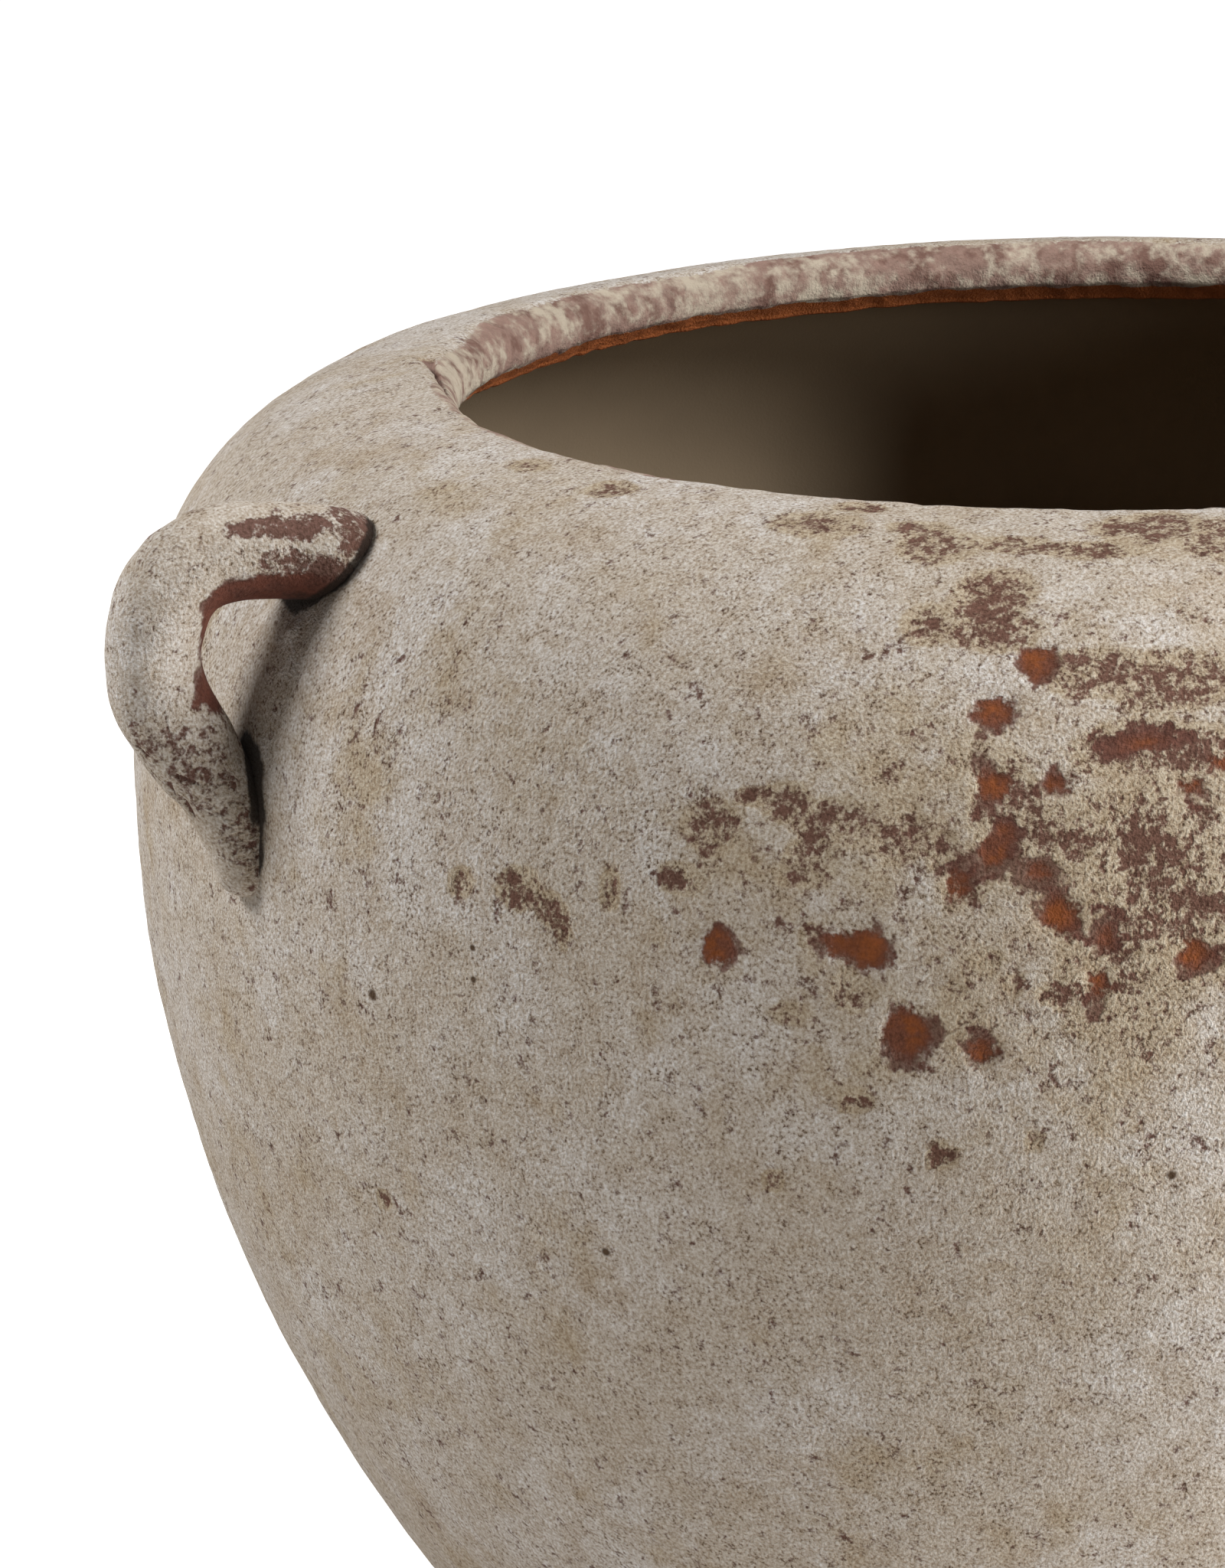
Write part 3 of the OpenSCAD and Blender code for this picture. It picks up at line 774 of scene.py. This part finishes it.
def over_wall(points):
    """Height of points over the plain wall, and the wall's direction under each, from its nearest place."""
    section = clay_grid().section
    line, side = section.line[section.outer()], section.side[section.outer()]
    pair = np.stack([np.hypot(points[..., 0], points[..., 1]), points[..., 2]], axis=-1)
    nearest = np.argmin(((pair[..., None, :] - line) ** 2).sum(axis=-1), axis=-1)
    facing = side[nearest]
    height = ((pair - line[nearest]) * facing).sum(axis=-1)
    turn = points[..., :2] / pair[..., :1]
    return height, np.concatenate([turn * facing[..., :1], facing[..., 1:]], axis=-1)


def creases(u, a):
    """1 along the middle of a crease, falling off as exp(-(distance / half width)^2), on the coil's grid."""
    x, y = u * COIL_STEP, swing(a) * COIL_DEGREE
    deep = 0.0
    for u0, a0, u1, a1, half in CREASES:
        x0, y0 = u0 * COIL_STEP, a0 * COIL_DEGREE
        dx, dy = u1 * COIL_STEP - x0, a1 * COIL_DEGREE - y0
        share = np.clip(((x - x0) * dx + (y - y0) * dy) / (dx * dx + dy * dy), 0, 1)
        far = np.hypot(x - x0 - share * dx, y - y0 - share * dy)
        faded = 1 - 0.6 * np.abs(2 * share - 1) ** 3
        deep = np.maximum(deep, np.exp(-((far / (half * MM)) ** 2)) * faded)
    return deep


def handle_piece(name, turn, seed):
    """One handle: a rolled coil carried along its two bends, pressed on the wall.

    A point is C(u) + R(u) (cos a O(u) + sin a Y), with C the centre line, O the outward direction in the
    handle's plane and Y across it. Both ends lean out of the plane. The arm's end is rounded off where it
    meets the wall, one side of the tail is smeared on it, and what would lie inside the wall is moved to just
    under its face. `turn` brings it to its side of the vase.
    """
    scene = bpy.context.scene
    handles = scene.vase_handles
    arm, tail = handle_bends(clay_grid().section, scene.vase_size, handles)
    t_arm, t_tail = np.arange(ARM_ROWS) / ARM_ROWS, np.arange(TAIL_ROWS + 1) / TAIL_ROWS
    root_way, tip_way = bend_along(arm, 0.0), bend_along(tail, 1.0)
    stub = arm[0] - STUB_LENGTH * (1 - np.arange(STUB_ROWS) / STUB_ROWS)[:, None] * root_way
    round_off = np.radians(90 * np.arange(1, TIP_ROWS + 1) / (TIP_ROWS + 1))
    tip_radius = handles.tail_tip / 2
    tip = tail[3] + tip_radius * np.sin(round_off)[:, None] * tip_way
    centre = np.concatenate([stub, bend(arm, t_arm), bend(tail, t_tail), tip])
    ends = np.tile(root_way, (STUB_ROWS, 1)), np.tile(tip_way, (TIP_ROWS, 1))
    way = np.concatenate([ends[0], bend_along(arm, t_arm), bend_along(tail, t_tail), ends[1]])
    out = np.stack([-way[:, 1], way[:, 0]], axis=1)
    u = np.concatenate([np.zeros(STUB_ROWS), t_arm, 1 + t_tail, np.full(TIP_ROWS, 2.0)])[:, None]
    radius = handle_radius(handles, u)
    radius[-TIP_ROWS:, 0] = tip_radius * np.cos(round_off)
    a = 2 * np.pi * np.arange(HANDLE_SIDES)[None] / HANDLE_SIDES
    cos, sin = np.cos(a), np.sin(a)

    def place(r):
        """Points of the coil with a radius for each of them."""
        flat = centre[:, None] + (r * cos)[..., None] * out[:, None]
        return np.stack([flat[..., 0], handle_lean(handles, u) + r * sin, flat[..., 1]], axis=-1)

    r = radius * np.ones(HANDLE_SIDES)
    even = place(r)
    height, _ = over_wall(even)
    near = np.clip((ARM_RIM - height) / ARM_RIM, 0, 1)
    r = r - ease((0.75 - u) / 0.35) * 0.6 * ARM_RIM * (1 - np.sqrt(1 - near**2))
    r = r + ARM_SWELL * ease((0.26 - u) / 0.22) * np.maximum(np.cos(a - np.radians(72)), 0)
    spot = even + np.array([0, 0, 7.0 * seed])
    r = r + 0.42 * MM * lumps(spot, 9 * MM, seed) + 0.2 * MM * lumps(spot, 3.6 * MM, seed + 1)
    cut = creases(u, a)
    points = place(r - CREASE_DEPTH * cut)
    height, _ = over_wall(points)
    smeared = ease(-1.6 * sin) * ease((u - 1.1) / 0.35) * ease((2.02 - u) / 0.2)
    points[..., 1] -= smeared * TAIL_SMEAR * np.clip(1 - height / (6 * MM), 0, 1) ** 2
    height, facing = over_wall(points)
    points += np.maximum(-SUNK - height, 0)[..., None] * facing

    marks = handle_marks(u, a, even, seed)
    # Brown clay along the finger creases: painted shade in them
    marks["worn"] = np.maximum(marks["worn"], UNWORN + 3.4 * cut)
    # Painted shade beside the wall where the coil is pressed on it, and on the arm's underside
    beside = ease((3.2 * MM - height) / (2.6 * MM)) * (1 - smeared) * ease((1.97 - u) / 0.2)
    shade_under_arm = 0.62 * ease((0.42 - u) / 0.3) * ease((-cos - 0.3) / 0.5)
    marks["dirt"] = np.maximum(beside, shade_under_arm)
    order = slice(None, None, -1 if np.linalg.det(turn) > 0 else 1)
    turned = [(values @ turn.T)[:, order] for values in (points, -grid_normals(points))]
    marks = {mark: values[:, order] for mark, values in marks.items()}
    return make_piece(name, *turned, [True] * len(points), marks, closed=False)


def handle_marks(u, a, place, seed):
    """Painted values of a handle: red clay inside its loop, brown patches on the arm, loop and tail."""
    ragged = layered(place + np.array([0, 0, 3.0 * seed]), 6 * MM, seed + 2, 3)
    on_arm, hole = ease((0.95 - u) / 0.3), ease((1.42 - u) / 0.12)
    rubbed = 0.36 * np.exp(-(((u - 1.2) / 0.1) ** 2)) - 0.4 * np.exp(-(((u - 1.0) / 0.07) ** 2))
    bare = (-np.cos(a) - 0.68 + 0.32 * on_arm + rubbed + 0.36 * ragged) * 9 + 9 * (hole - 1)
    worn = 0.8 * ragged - 1.15
    for u0, a0, half_u, half_a, strength in HANDLE_PATCHES:
        far = np.hypot((u - u0) / half_u, swing(a, a0) / half_a) + 0.5 * ragged
        worn = np.maximum(worn, strength * 1.4 * ease(1.5 - far) - 0.9)
    return {**{mark: np.zeros_like(worn) for mark in MARKS}, "bare": bare, "worn": worn}


# Finishes


class Wiring:
    """Short calls that add nodes to a tree; each gives back the socket that the next one takes."""

    def __init__(self, tree):
        self.tree = tree

    def link(self, value, socket):
        """Links a socket to the next one."""
        self.tree.links.new(value, socket)

    def put(self, kind, out=0, inputs=None, **settings):
        """Adds a node, sets its properties and links or sets its inputs; out None gives all its outputs."""
        node = self.tree.nodes.new(kind)
        for name, value in settings.items():
            setattr(node, name, value)
        for key, value in (inputs or {}).items():
            if isinstance(value, bpy.types.NodeSocket):
                self.link(value, node.inputs[key])
            else:
                node.inputs[key].default_value = value
        return node.outputs if out is None else node.outputs[out]

    def math(self, operation, a, b=0.0, c=0.0):
        """One sum on values."""
        return self.put("ShaderNodeMath", inputs={0: a, 1: b, 2: c}, operation=operation)

    def add(self, *values):
        """Sum of values."""
        return functools.reduce(functools.partial(self.math, "ADD"), values)

    def most(self, *values):
        """Largest of values."""
        return functools.reduce(functools.partial(self.math, "MAXIMUM"), values)

    def scaled(self, value, factor, shift=0.0):
        """value * factor + shift."""
        return self.math("MULTIPLY_ADD", value, factor, shift)

    def swung(self, value, factor):
        """A noise about 0.5 made one about 0, times a factor."""
        return self.scaled(value, factor, -factor / 2)

    def step(self, value, low, high):
        """Smooth step from 0 at low to 1 at high."""
        keys = {"Value": value, "From Min": low, "From Max": high}
        return self.put("ShaderNodeMapRange", inputs=keys, interpolation_type="SMOOTHSTEP")

    def mix(self, amount, a, b):
        """Colour a turned into colour b by an amount."""
        return self.put("ShaderNodeMix", out=2, inputs={0: amount, 6: a, 7: b}, data_type="RGBA")

    def shaded(self, colour, amount):
        """Colour times a value."""
        return self.put("ShaderNodeVectorMath", inputs={0: colour, "Scale": amount}, operation="SCALE")

    def noise(self, vector, size, detail=2.0, roughness=0.5):
        """Noise with lumps of a size in metres, about 0.5 in the middle."""
        keys = {"Vector": vector, "Scale": 1 / size, "Detail": detail, "Roughness": roughness}
        return self.put("ShaderNodeTexNoise", inputs=keys)

    def grains(self, vector, size, reach, spread):
        """Mask of round grains in cells of a size: each reaches a share of its cell, varied by a spread."""
        cell = self.put("ShaderNodeTexVoronoi", None, {"Vector": vector, "Scale": 1 / size})
        chance = self.put("ShaderNodeSeparateColor", inputs={0: cell["Color"]})
        edge = self.scaled(chance, spread, reach - spread / 2)
        return self.step(self.math("SUBTRACT", edge, cell["Distance"]), 0.0, 0.16)

    def mark(self, name):
        """A painted value of the piece."""
        return self.put("ShaderNodeAttribute", out="Fac", attribute_name=name, attribute_type="GEOMETRY")


def start_material(name, roughness, specular):
    """New material; gives it, its wiring and its shader's inputs."""
    material = bpy.data.materials.new(name)
    material.use_nodes = True
    shader = material.node_tree.nodes["Principled BSDF"].inputs
    shader["Roughness"].default_value = roughness
    shader["Specular IOR Level"].default_value = specular
    return material, Wiring(material.node_tree), shader


def make_group(name, inputs, outputs):
    """Empty shader group with sockets listed by kind; gives its wiring, inputs and a call that ends it."""
    tree = bpy.data.node_groups.new(name, "ShaderNodeTree")
    for way, sockets in (("INPUT", inputs), ("OUTPUT", outputs)):
        for kind, names in sockets.items():
            for socket in names.split():
                tree.interface.new_socket(socket, in_out=way, socket_type="NodeSocket" + kind)
    given = tree.nodes.new("NodeGroupInput").outputs
    wanted = tree.nodes.new("NodeGroupOutput").inputs

    def finish(**found):
        """Links what the group puts out."""
        for socket, value in found.items():
            tree.links.new(value, wanted[socket])
        return tree

    return Wiring(tree), given, finish


@functools.lru_cache(maxsize=1)
def sandy_grain():
    """Group: fine sand in the slip. Gives its grains, mottling, dark pits and specks, and a height in mm."""
    w, given, finish = make_group("Sandy grain", {"Vector": "Vector"}, {"Float": "Sand Mottle Dark Height"})
    v = given["Vector"]
    sand = w.noise(v, 0.55 * MM, 2.0, 0.6)
    mottle = w.noise(v, 2.6 * MM, 3.0, 0.62)
    crowd = w.noise(v, 14 * MM, 3.0, 0.6)
    pits = w.step(w.add(sand, w.swung(mottle, 0.4), w.swung(crowd, 0.4)), 0.38, 0.2)
    coarse = w.grains(v, 2.2 * MM, -0.02, 0.42)
    rare = w.grains(v, 15 * MM, -0.03, 0.16)
    dark = w.most(pits, w.scaled(coarse, 0.85), rare)
    height = w.add(w.scaled(sand, 0.34), w.scaled(mottle, 0.2), w.scaled(coarse, -0.06))
    return finish(Sand=sand, Mottle=mottle, Dark=dark, Height=height)


@functools.lru_cache(maxsize=1)
def slip_tones():
    """Group: colour of the sandy slip with its stains, cool and cream patches, and grains."""
    sockets = {"Vector": "Vector", "Float": "Sand Mottle Dark Worn", "Color": "Slip Cream Grey Stain Speck"}
    w, given, finish = make_group("Slip tones", sockets, {"Color": "Color"})
    v, worn = given["Vector"], given["Worn"]
    cool = w.step(w.noise(v, 30 * MM, 4.0, 0.65), 0.44, 0.62)
    colour = w.mix(cool, given["Slip"], given["Grey"])
    thin = w.add(worn, w.swung(w.noise(v, 16 * MM, 4.0, 0.65), 2.0))
    colour = w.mix(w.scaled(w.step(thin, -0.85, -0.3), 0.85), colour, given["Cream"])
    stained = w.step(w.noise(v, 18 * MM, 4.0, 0.65), 0.5, 0.72)
    warm = w.step(w.noise(v, 6.5 * MM, 3.0, 0.6), 0.48, 0.7)
    colour = w.mix(w.most(w.scaled(stained, 0.5), w.scaled(warm, 0.3)), colour, given["Stain"])
    depth = w.scaled(w.step(worn, UNWORN, UNWORN + 1), 0.24, 0.68)
    shade = w.add(w.scaled(given["Sand"], 2.2, -1.55), w.scaled(given["Mottle"], 0.7))
    shade = w.most(w.math("MULTIPLY_ADD", shade, depth, 1.0), 0.3)
    powers = {0: w.math("POWER", shade, 0.8), 1: shade, 2: w.math("POWER", shade, 1.25)}
    tinted = w.put("ShaderNodeCombineXYZ", inputs=powers)
    colour = w.put("ShaderNodeVectorMath", inputs={0: colour, 1: tinted}, operation="MULTIPLY")
    specks = w.math("MULTIPLY", given["Dark"], w.scaled(depth, 0.82))
    return finish(Color=w.mix(specks, colour, given["Speck"]))


@functools.lru_cache(maxsize=1)
def worn_through():
    """Group: the slip worn to brown clay grain by grain, and chipped to red clay with a dark rim."""
    sockets = {"Vector": "Vector", "Float": "Sand Mottle Worn Bare", "Color": "Slip Clay Red"}
    w, given, finish = make_group("Worn through", sockets, {"Color": "Color", "Float": "Layer"})
    v, sand, mottle, bare = (given[name] for name in ("Vector", "Sand", "Mottle", "Bare"))
    ragged = w.noise(v, 4.2 * MM, 3.0, 0.6)
    clumps = w.noise(v, 1.5 * MM, 2.5, 0.6)
    lean = w.noise(v, 8 * MM, 2.0)
    torn = w.add(given["Worn"], w.swung(sand, -1.8), w.swung(clumps, -5.0), w.scaled(ragged, 3.4, -1.95))
    worn = w.step(torn, -0.65, 0.65)
    rim_at = w.add(bare, w.swung(ragged, 6.0), w.scaled(lean, 9.0, -4.2), w.swung(clumps, -4.0))
    rim = w.step(rim_at, -0.7, 0.7)
    chip_at = w.add(bare, w.scaled(ragged, 4.0, -2.3), w.swung(clumps, -2.2), w.swung(sand, -0.8))
    chip = w.step(chip_at, -0.6, 0.7)
    clay = w.shaded(given["Clay"], w.add(w.scaled(sand, 1.6, -0.25), w.scaled(mottle, 0.8)))
    red = w.shaded(given["Red"], w.add(w.scaled(mottle, 1.0, 0.15), w.scaled(sand, 0.6)))
    red = w.mix(w.scaled(w.step(ragged, 0.46, 0.66), 0.7), red, clay)
    red = w.mix(w.scaled(w.step(chip_at, 1.9, 0.1), 0.65), red, clay)
    colour = w.mix(w.scaled(worn, 0.92), given["Slip"], clay)
    colour = w.mix(w.scaled(rim, 0.85), colour, clay)
    gone = w.most(w.scaled(worn, 0.6), w.scaled(rim, 0.8), chip)
    return finish(Color=w.mix(chip, colour, red), Layer=w.scaled(gone, -1.0, 1.0))


SLIP_STEP = 0.2
CLAY_ROUGHNESS = 0.93
CLAY_SPECULAR = 0.18
# Heights between which the hollow turns darker towards its bottom
HOLLOW_DARK_TOP, HOLLOW_DARK_LOW = 0.2, 0.15
# How much smoother the hollow is than the slip
HOLLOW_SMOOTH = 0.85


def spot_mask(w, v):
    """1 inside a large dark grain of the wall."""
    grid = clay_grid()
    mask = 0.0
    for angle, height, half in SPOTS:
        row = np.argmin(np.abs(grid.section.distance - grid.section.distance_at_height(height * MM)))
        centre = grid.points[row, round(angle / 360 * LIP_COLUMNS)]
        far = w.put("ShaderNodeVectorMath", out="Value", inputs={0: v, 1: centre}, operation="DISTANCE")
        mask = w.most(w.step(far, 1.3 * half * MM, 0.5 * half * MM), mask)
    return mask


def lip_tones(w, v, mottle, colour, colours):
    """Colour of the lip: the slip's, with the mauve band, the cream runs on it and the bare red edge."""
    band = w.shaded(colours.band[:3], w.scaled(mottle, 0.7, 0.62))
    rusty = w.step(w.noise(v, 5 * MM, 3.0, 0.6), 0.45, 0.62)
    band = w.mix(w.scaled(rusty, 0.6), band, colours.clay[:])
    fine = w.noise(v, 1.6 * MM, 3.0, 0.6)
    runs = w.step(w.add(w.mark("cream"), w.swung(fine, 1.7)), -0.4, 0.62)
    band = w.mix(w.scaled(runs, 0.85), band, colours.cream[:])
    kept = w.step(w.add(w.mark("band"), w.swung(fine, 1.4)), 0.36, 0.68)
    red = w.shaded(colours.bare[:3], w.scaled(w.noise(v, 3.5 * MM, 3.0), 0.8, 0.95))
    edge = w.step(w.add(w.mark("edge"), w.swung(fine, 1.2)), 0.35, 0.7)
    return w.mix(edge, w.mix(kept, colour, band), red)


def clay_material(name, red, thin="slip_cream", speck_depth=1.0, lip=False, spots=False):
    """Finish of one kind of piece: slip, wear and grain, the hollow's smooth clay and, on the lip, its band.

    `red` and `thin` name the colours of the bare clay and of the slip that is worn thin.
    """
    colours = bpy.context.scene.vase_colours
    material, w, shader = start_material(name, CLAY_ROUGHNESS, CLAY_SPECULAR)
    v = w.put("ShaderNodeTexCoord", out="Object")
    grain = w.put("ShaderNodeGroup", None, {"Vector": v}, node_tree=sandy_grain())
    mottle = grain["Mottle"]
    shared = {"Vector": v, "Sand": grain["Sand"], "Mottle": mottle, "Worn": w.mark("worn")}
    tones = {"Slip": "slip", "Cream": thin, "Grey": "slip_grey", "Stain": "stain", "Speck": "speck"}
    tones = {socket: getattr(colours, key)[:] for socket, key in tones.items()}
    tones["Dark"] = w.scaled(grain["Dark"], speck_depth)
    slip = w.put("ShaderNodeGroup", inputs={**shared, **tones}, node_tree=slip_tones())
    clays = {"Slip": slip, "Bare": w.mark("bare"), "Clay": colours.clay[:], "Red": getattr(colours, red)[:]}
    surface = w.put("ShaderNodeGroup", None, {**shared, **clays}, node_tree=worn_through())
    colour = surface["Color"]
    if spots:
        colour = w.mix(spot_mask(w, v), colour, colours.speck[:])
    if lip:
        colour = lip_tones(w, v, mottle, colour, colours)
    else:
        # Painted shade in the crevices beside the handles and under their arms, in a near-black colour
        caught = w.step(w.add(w.mark("dirt"), w.swung(mottle, 0.9)), 0.3, 0.75)
        colour = w.mix(w.scaled(caught, 0.94), colour, colours.dirt[:])

    inside = w.mark("inside")
    level = w.put("ShaderNodeSeparateXYZ", out="Z", inputs={0: v})
    level = w.add(level, w.swung(w.noise(v, 40 * MM, 3.0), 0.04))
    hollow = w.mix(w.step(level, HOLLOW_DARK_TOP, HOLLOW_DARK_LOW), colours.hollow[:], colours.deep[:])
    hollow = w.shaded(hollow, w.scaled(w.noise(v, 30 * MM, 3.0), 0.34, 0.83))
    w.link(w.mix(inside, colour, hollow), shader["Base Color"])
    rough = w.scaled(inside, -HOLLOW_SMOOTH, 1.0)
    height = w.add(w.scaled(surface["Layer"], SLIP_STEP), grain["Height"])
    bumps = {"Strength": 1.0, "Distance": MM, "Height": w.math("MULTIPLY", height, rough)}
    w.link(w.put("ShaderNodeBump", inputs=bumps), shader["Normal"])
    return material


class VASE_OT_walls(bpy.types.Operator):
    """Makes the base slab, the lower wall and the shoulder wall."""

    bl_idname = "vase.walls"
    bl_label = "Walls"

    def execute(self, context):
        grid = clay_grid()
        at = grid.section.start
        foot, belly, lip = at["lower_out"], at["shoulder_out"], at["lip_out"]
        belly_in, lip_in, smear_edge = at["lower_in"], at["shoulder_in"], at["floor"]
        foot_joint = slab_rows(grid, WALL_STEP)
        belly_joint = joint_rows(grid, belly, belly_in, WALL_STEP)
        lip_joint = joint_rows(grid, lip, lip_in, WALL_STEP)
        slab = [(0, foot), foot_joint, (smear_edge, grid.rows - 1)]
        lower = [(foot, belly), belly_joint, (belly_in, smear_edge), foot_joint[::-1]]
        shoulder = [(belly, lip), lip_joint, (lip_in, belly_in), belly_joint[::-1]]
        finish = clay_material("wall_slip", "bare", spots=True)
        for node, parts in (("base_slab", slab), ("lower_wall", lower), ("shoulder_wall", shoulder)):
            piece = turned_piece("clay_" + node, grid, parts, WALL_STEP, closed=node != "base_slab")
            dress(piece, node, finish)
        return {"FINISHED"}


class VASE_OT_lip(bpy.types.Operator):
    """Makes the lip coil with its band, bare edge and lap."""

    bl_idname = "vase.lip"
    bl_label = "Lip"

    def execute(self, context):
        grid = clay_grid()
        first, last = grid.section.start["lip_out"], grid.section.start["shoulder_in"]
        # Where the lip meets the coarser walls, each odd point lies halfway between its neighbours
        for row in (first, last):
            ring = grid.points[row]
            ring[1::2] = (ring[::2] + np.roll(ring, -2, axis=0)[::2]) / 2
        parts = [(first, last), joint_rows(grid, first, last, 1)[::-1]]
        piece = turned_piece("clay_lip_coil", grid, parts, 1, closed=True)
        dress(piece, "lip_coil", clay_material("lip_slip", "bare", lip=True))
        return {"FINISHED"}


class VASE_OT_handles(bpy.types.Operator):
    """Makes the two loop handles."""

    bl_idname = "vase.handles"
    bl_label = "Handles"

    def execute(self, context):
        # The handles' bare clay takes the darker red: painted shade inside the loop
        finish = clay_material("handle_slip", "inner", "slip", speck_depth=0.88)
        for node, side, seed in (("handle_left", -1.0, 3), ("handle_right", 1.0, 5)):
            piece = handle_piece("clay_" + node, np.diag([side, -1.0, 1.0]), seed)
            dress(piece, node, finish)
        return {"FINISHED"}


FLOOR_REACH = 12.0
FLOOR_COLOUR = (0.74, 0.72, 0.69, 1.0)
# Distances between which the floor fades to white, and how white it is near the vase
FLOOR_FADE = (0.5, 1.6)
FLOOR_NEAR_WHITE = 0.8
BACKDROP = (1.0, 1.0, 1.0, 1.0)
AMBIENT = 0.028
SENSOR_WIDTH = 36.0

# Lamps: name, place to the camera's right, towards the camera and up, width, height, power in watts
LAMPS = (
    ("left_key", (-1.03, 0.09, 1.04), 0.45, 0.35, 14.0),
    ("right_softbox", (1.11, 0.39, 0.94), 0.25, 0.65, 18.5),
    ("right_low_softbox", (1.2, 0.75, 0.25), 0.7, 0.5, 13.0),
)
LAMP_AIM = Vector((0.0, 0.0, 0.17))


def camera_sees(w):
    """1 for rays that show what the camera sees, straight or in gloss or glass."""
    path = w.put("ShaderNodeLightPath", None)
    return w.most(path["Is Camera Ray"], path["Is Glossy Ray"], path["Is Transmission Ray"])


class VASE_OT_stage(bpy.types.Operator):
    """Makes the floor, the lamps, the backdrop and the camera."""

    bl_idname = "vase.stage"
    bl_label = "Stage"

    def execute(self, context):
        scene = context.scene
        scene.view_settings.view_transform = "Standard"
        self.floor()
        self.world(scene)
        self.lamps(scene)
        self.camera(scene)
        return {"FINISHED"}

    def floor(self):
        """Pale floor that is white to the camera and keeps the shadow."""
        r = FLOOR_REACH
        mesh = bpy.data.meshes.new("floor")
        mesh.from_pydata([(-r, -r, 0), (r, -r, 0), (r, r, 0), (-r, r, 0)], [], [(0, 1, 2, 3)])
        floor = place_object("floor", mesh)
        material, w, shader = start_material("floor_paper", 1.0, 0.0)
        shader["Base Color"].default_value = FLOOR_COLOUR
        shader["Emission Color"].default_value = BACKDROP
        place = w.put("ShaderNodeTexCoord", out="Object")
        far = w.put("ShaderNodeVectorMath", out="Value", inputs={0: place}, operation="LENGTH")
        white = w.scaled(w.step(far, *FLOOR_FADE), 1 - FLOOR_NEAR_WHITE, FLOOR_NEAR_WHITE)
        w.link(w.math("MULTIPLY", camera_sees(w), white), shader["Emission Strength"])
        mesh.materials.append(material)

    def world(self, scene):
        """White to the camera, and a soft grey light on the vase."""
        scene.world = bpy.data.worlds.new("studio")
        scene.world.use_nodes = True
        w = Wiring(scene.world.node_tree)
        back = w.tree.nodes["Background"].inputs
        back["Color"].default_value = BACKDROP
        w.link(w.scaled(camera_sees(w), 1 - AMBIENT, AMBIENT), back["Strength"])

    def lamps(self, scene):
        """Soft boxes placed from the camera's side of the vase, aimed at its belly."""
        side = np.radians(scene.vase_stage.side)
        near = Vector((np.cos(side), np.sin(side), 0.0))
        right = Vector((-near.y, near.x, 0.0))
        for name, (over, front, up), width, height, power in LAMPS:
            lamp = bpy.data.lights.new(name, "AREA")
            lamp.shape = "RECTANGLE"
            lamp.size, lamp.size_y, lamp.energy = width, height, power
            holder = place_object(name, lamp)
            holder.location = over * right + front * near + Vector((0.0, 0.0, up))
            holder.rotation_euler = (LAMP_AIM - holder.location).to_track_quat("-Z", "Y").to_euler()
            holder.visible_camera = False

    def camera(self, scene):
        """Camera at the photograph's angle: turned, tilted and rolled from a level look at the axis."""
        stage = scene.vase_stage
        side, turn, tilt, roll = np.radians([stage.side, stage.turn, stage.tilt, stage.roll])
        look = side + np.pi - turn
        forward = Vector((np.cos(look) * np.cos(tilt), np.sin(look) * np.cos(tilt), np.sin(tilt)))
        right = Vector((np.sin(look), -np.cos(look), 0.0))
        up = right.cross(forward)
        right, up = np.cos(roll) * right + np.sin(roll) * up, np.cos(roll) * up - np.sin(roll) * right
        data = bpy.data.cameras.new("camera")
        data.lens, data.sensor_width = stage.lens, SENSOR_WIDTH
        camera = place_object("camera", data)
        axes = Matrix((right, up, -forward)).transposed().to_4x4()
        spot = Vector((stage.reach * np.cos(side), stage.reach * np.sin(side), stage.height))
        camera.matrix_world = Matrix.Translation(spot) @ axes
        scene.camera = camera


class VASE_PT_panel(bpy.types.Panel):
    """Lists the vase's settings and the steps that make it."""

    bl_label = "Clay vase"
    bl_idname = "VASE_PT_panel"
    bl_space_type = "VIEW_3D"
    bl_region_type = "UI"
    bl_category = "Vase"

    def draw(self, context):
        layout = self.layout
        for step in STEPS:
            layout.operator(step.bl_idname)
        for name, group in SETTINGS.items():
            box = layout.box()
            box.label(text=group.__doc__)
            for key in group.__annotations__:
                box.prop(getattr(context.scene, name), key)


SETTINGS = {
    "vase_size": VaseSize,
    "vase_handles": VaseHandles,
    "vase_wear": VaseWear,
    "vase_colours": VaseColours,
    "vase_stage": VaseStage,
}
STEPS = (VASE_OT_walls, VASE_OT_lip, VASE_OT_handles, VASE_OT_stage)
CLASSES = (*SETTINGS.values(), *STEPS, VASE_PT_panel)


def register():
    for group in CLASSES:
        bpy.utils.register_class(group)
    for name, group in SETTINGS.items():
        setattr(bpy.types.Scene, name, PointerProperty(type=group))


def unregister():
    for name in SETTINGS:
        delattr(bpy.types.Scene, name)
    for group in reversed(CLASSES):
        bpy.utils.unregister_class(group)


def main():
    """Makes the whole scene."""
    register()
    bpy.ops.vase.walls()
    bpy.ops.vase.lip()
    bpy.ops.vase.handles()
    bpy.ops.vase.stage()


if __name__ == "__main__":
    main()
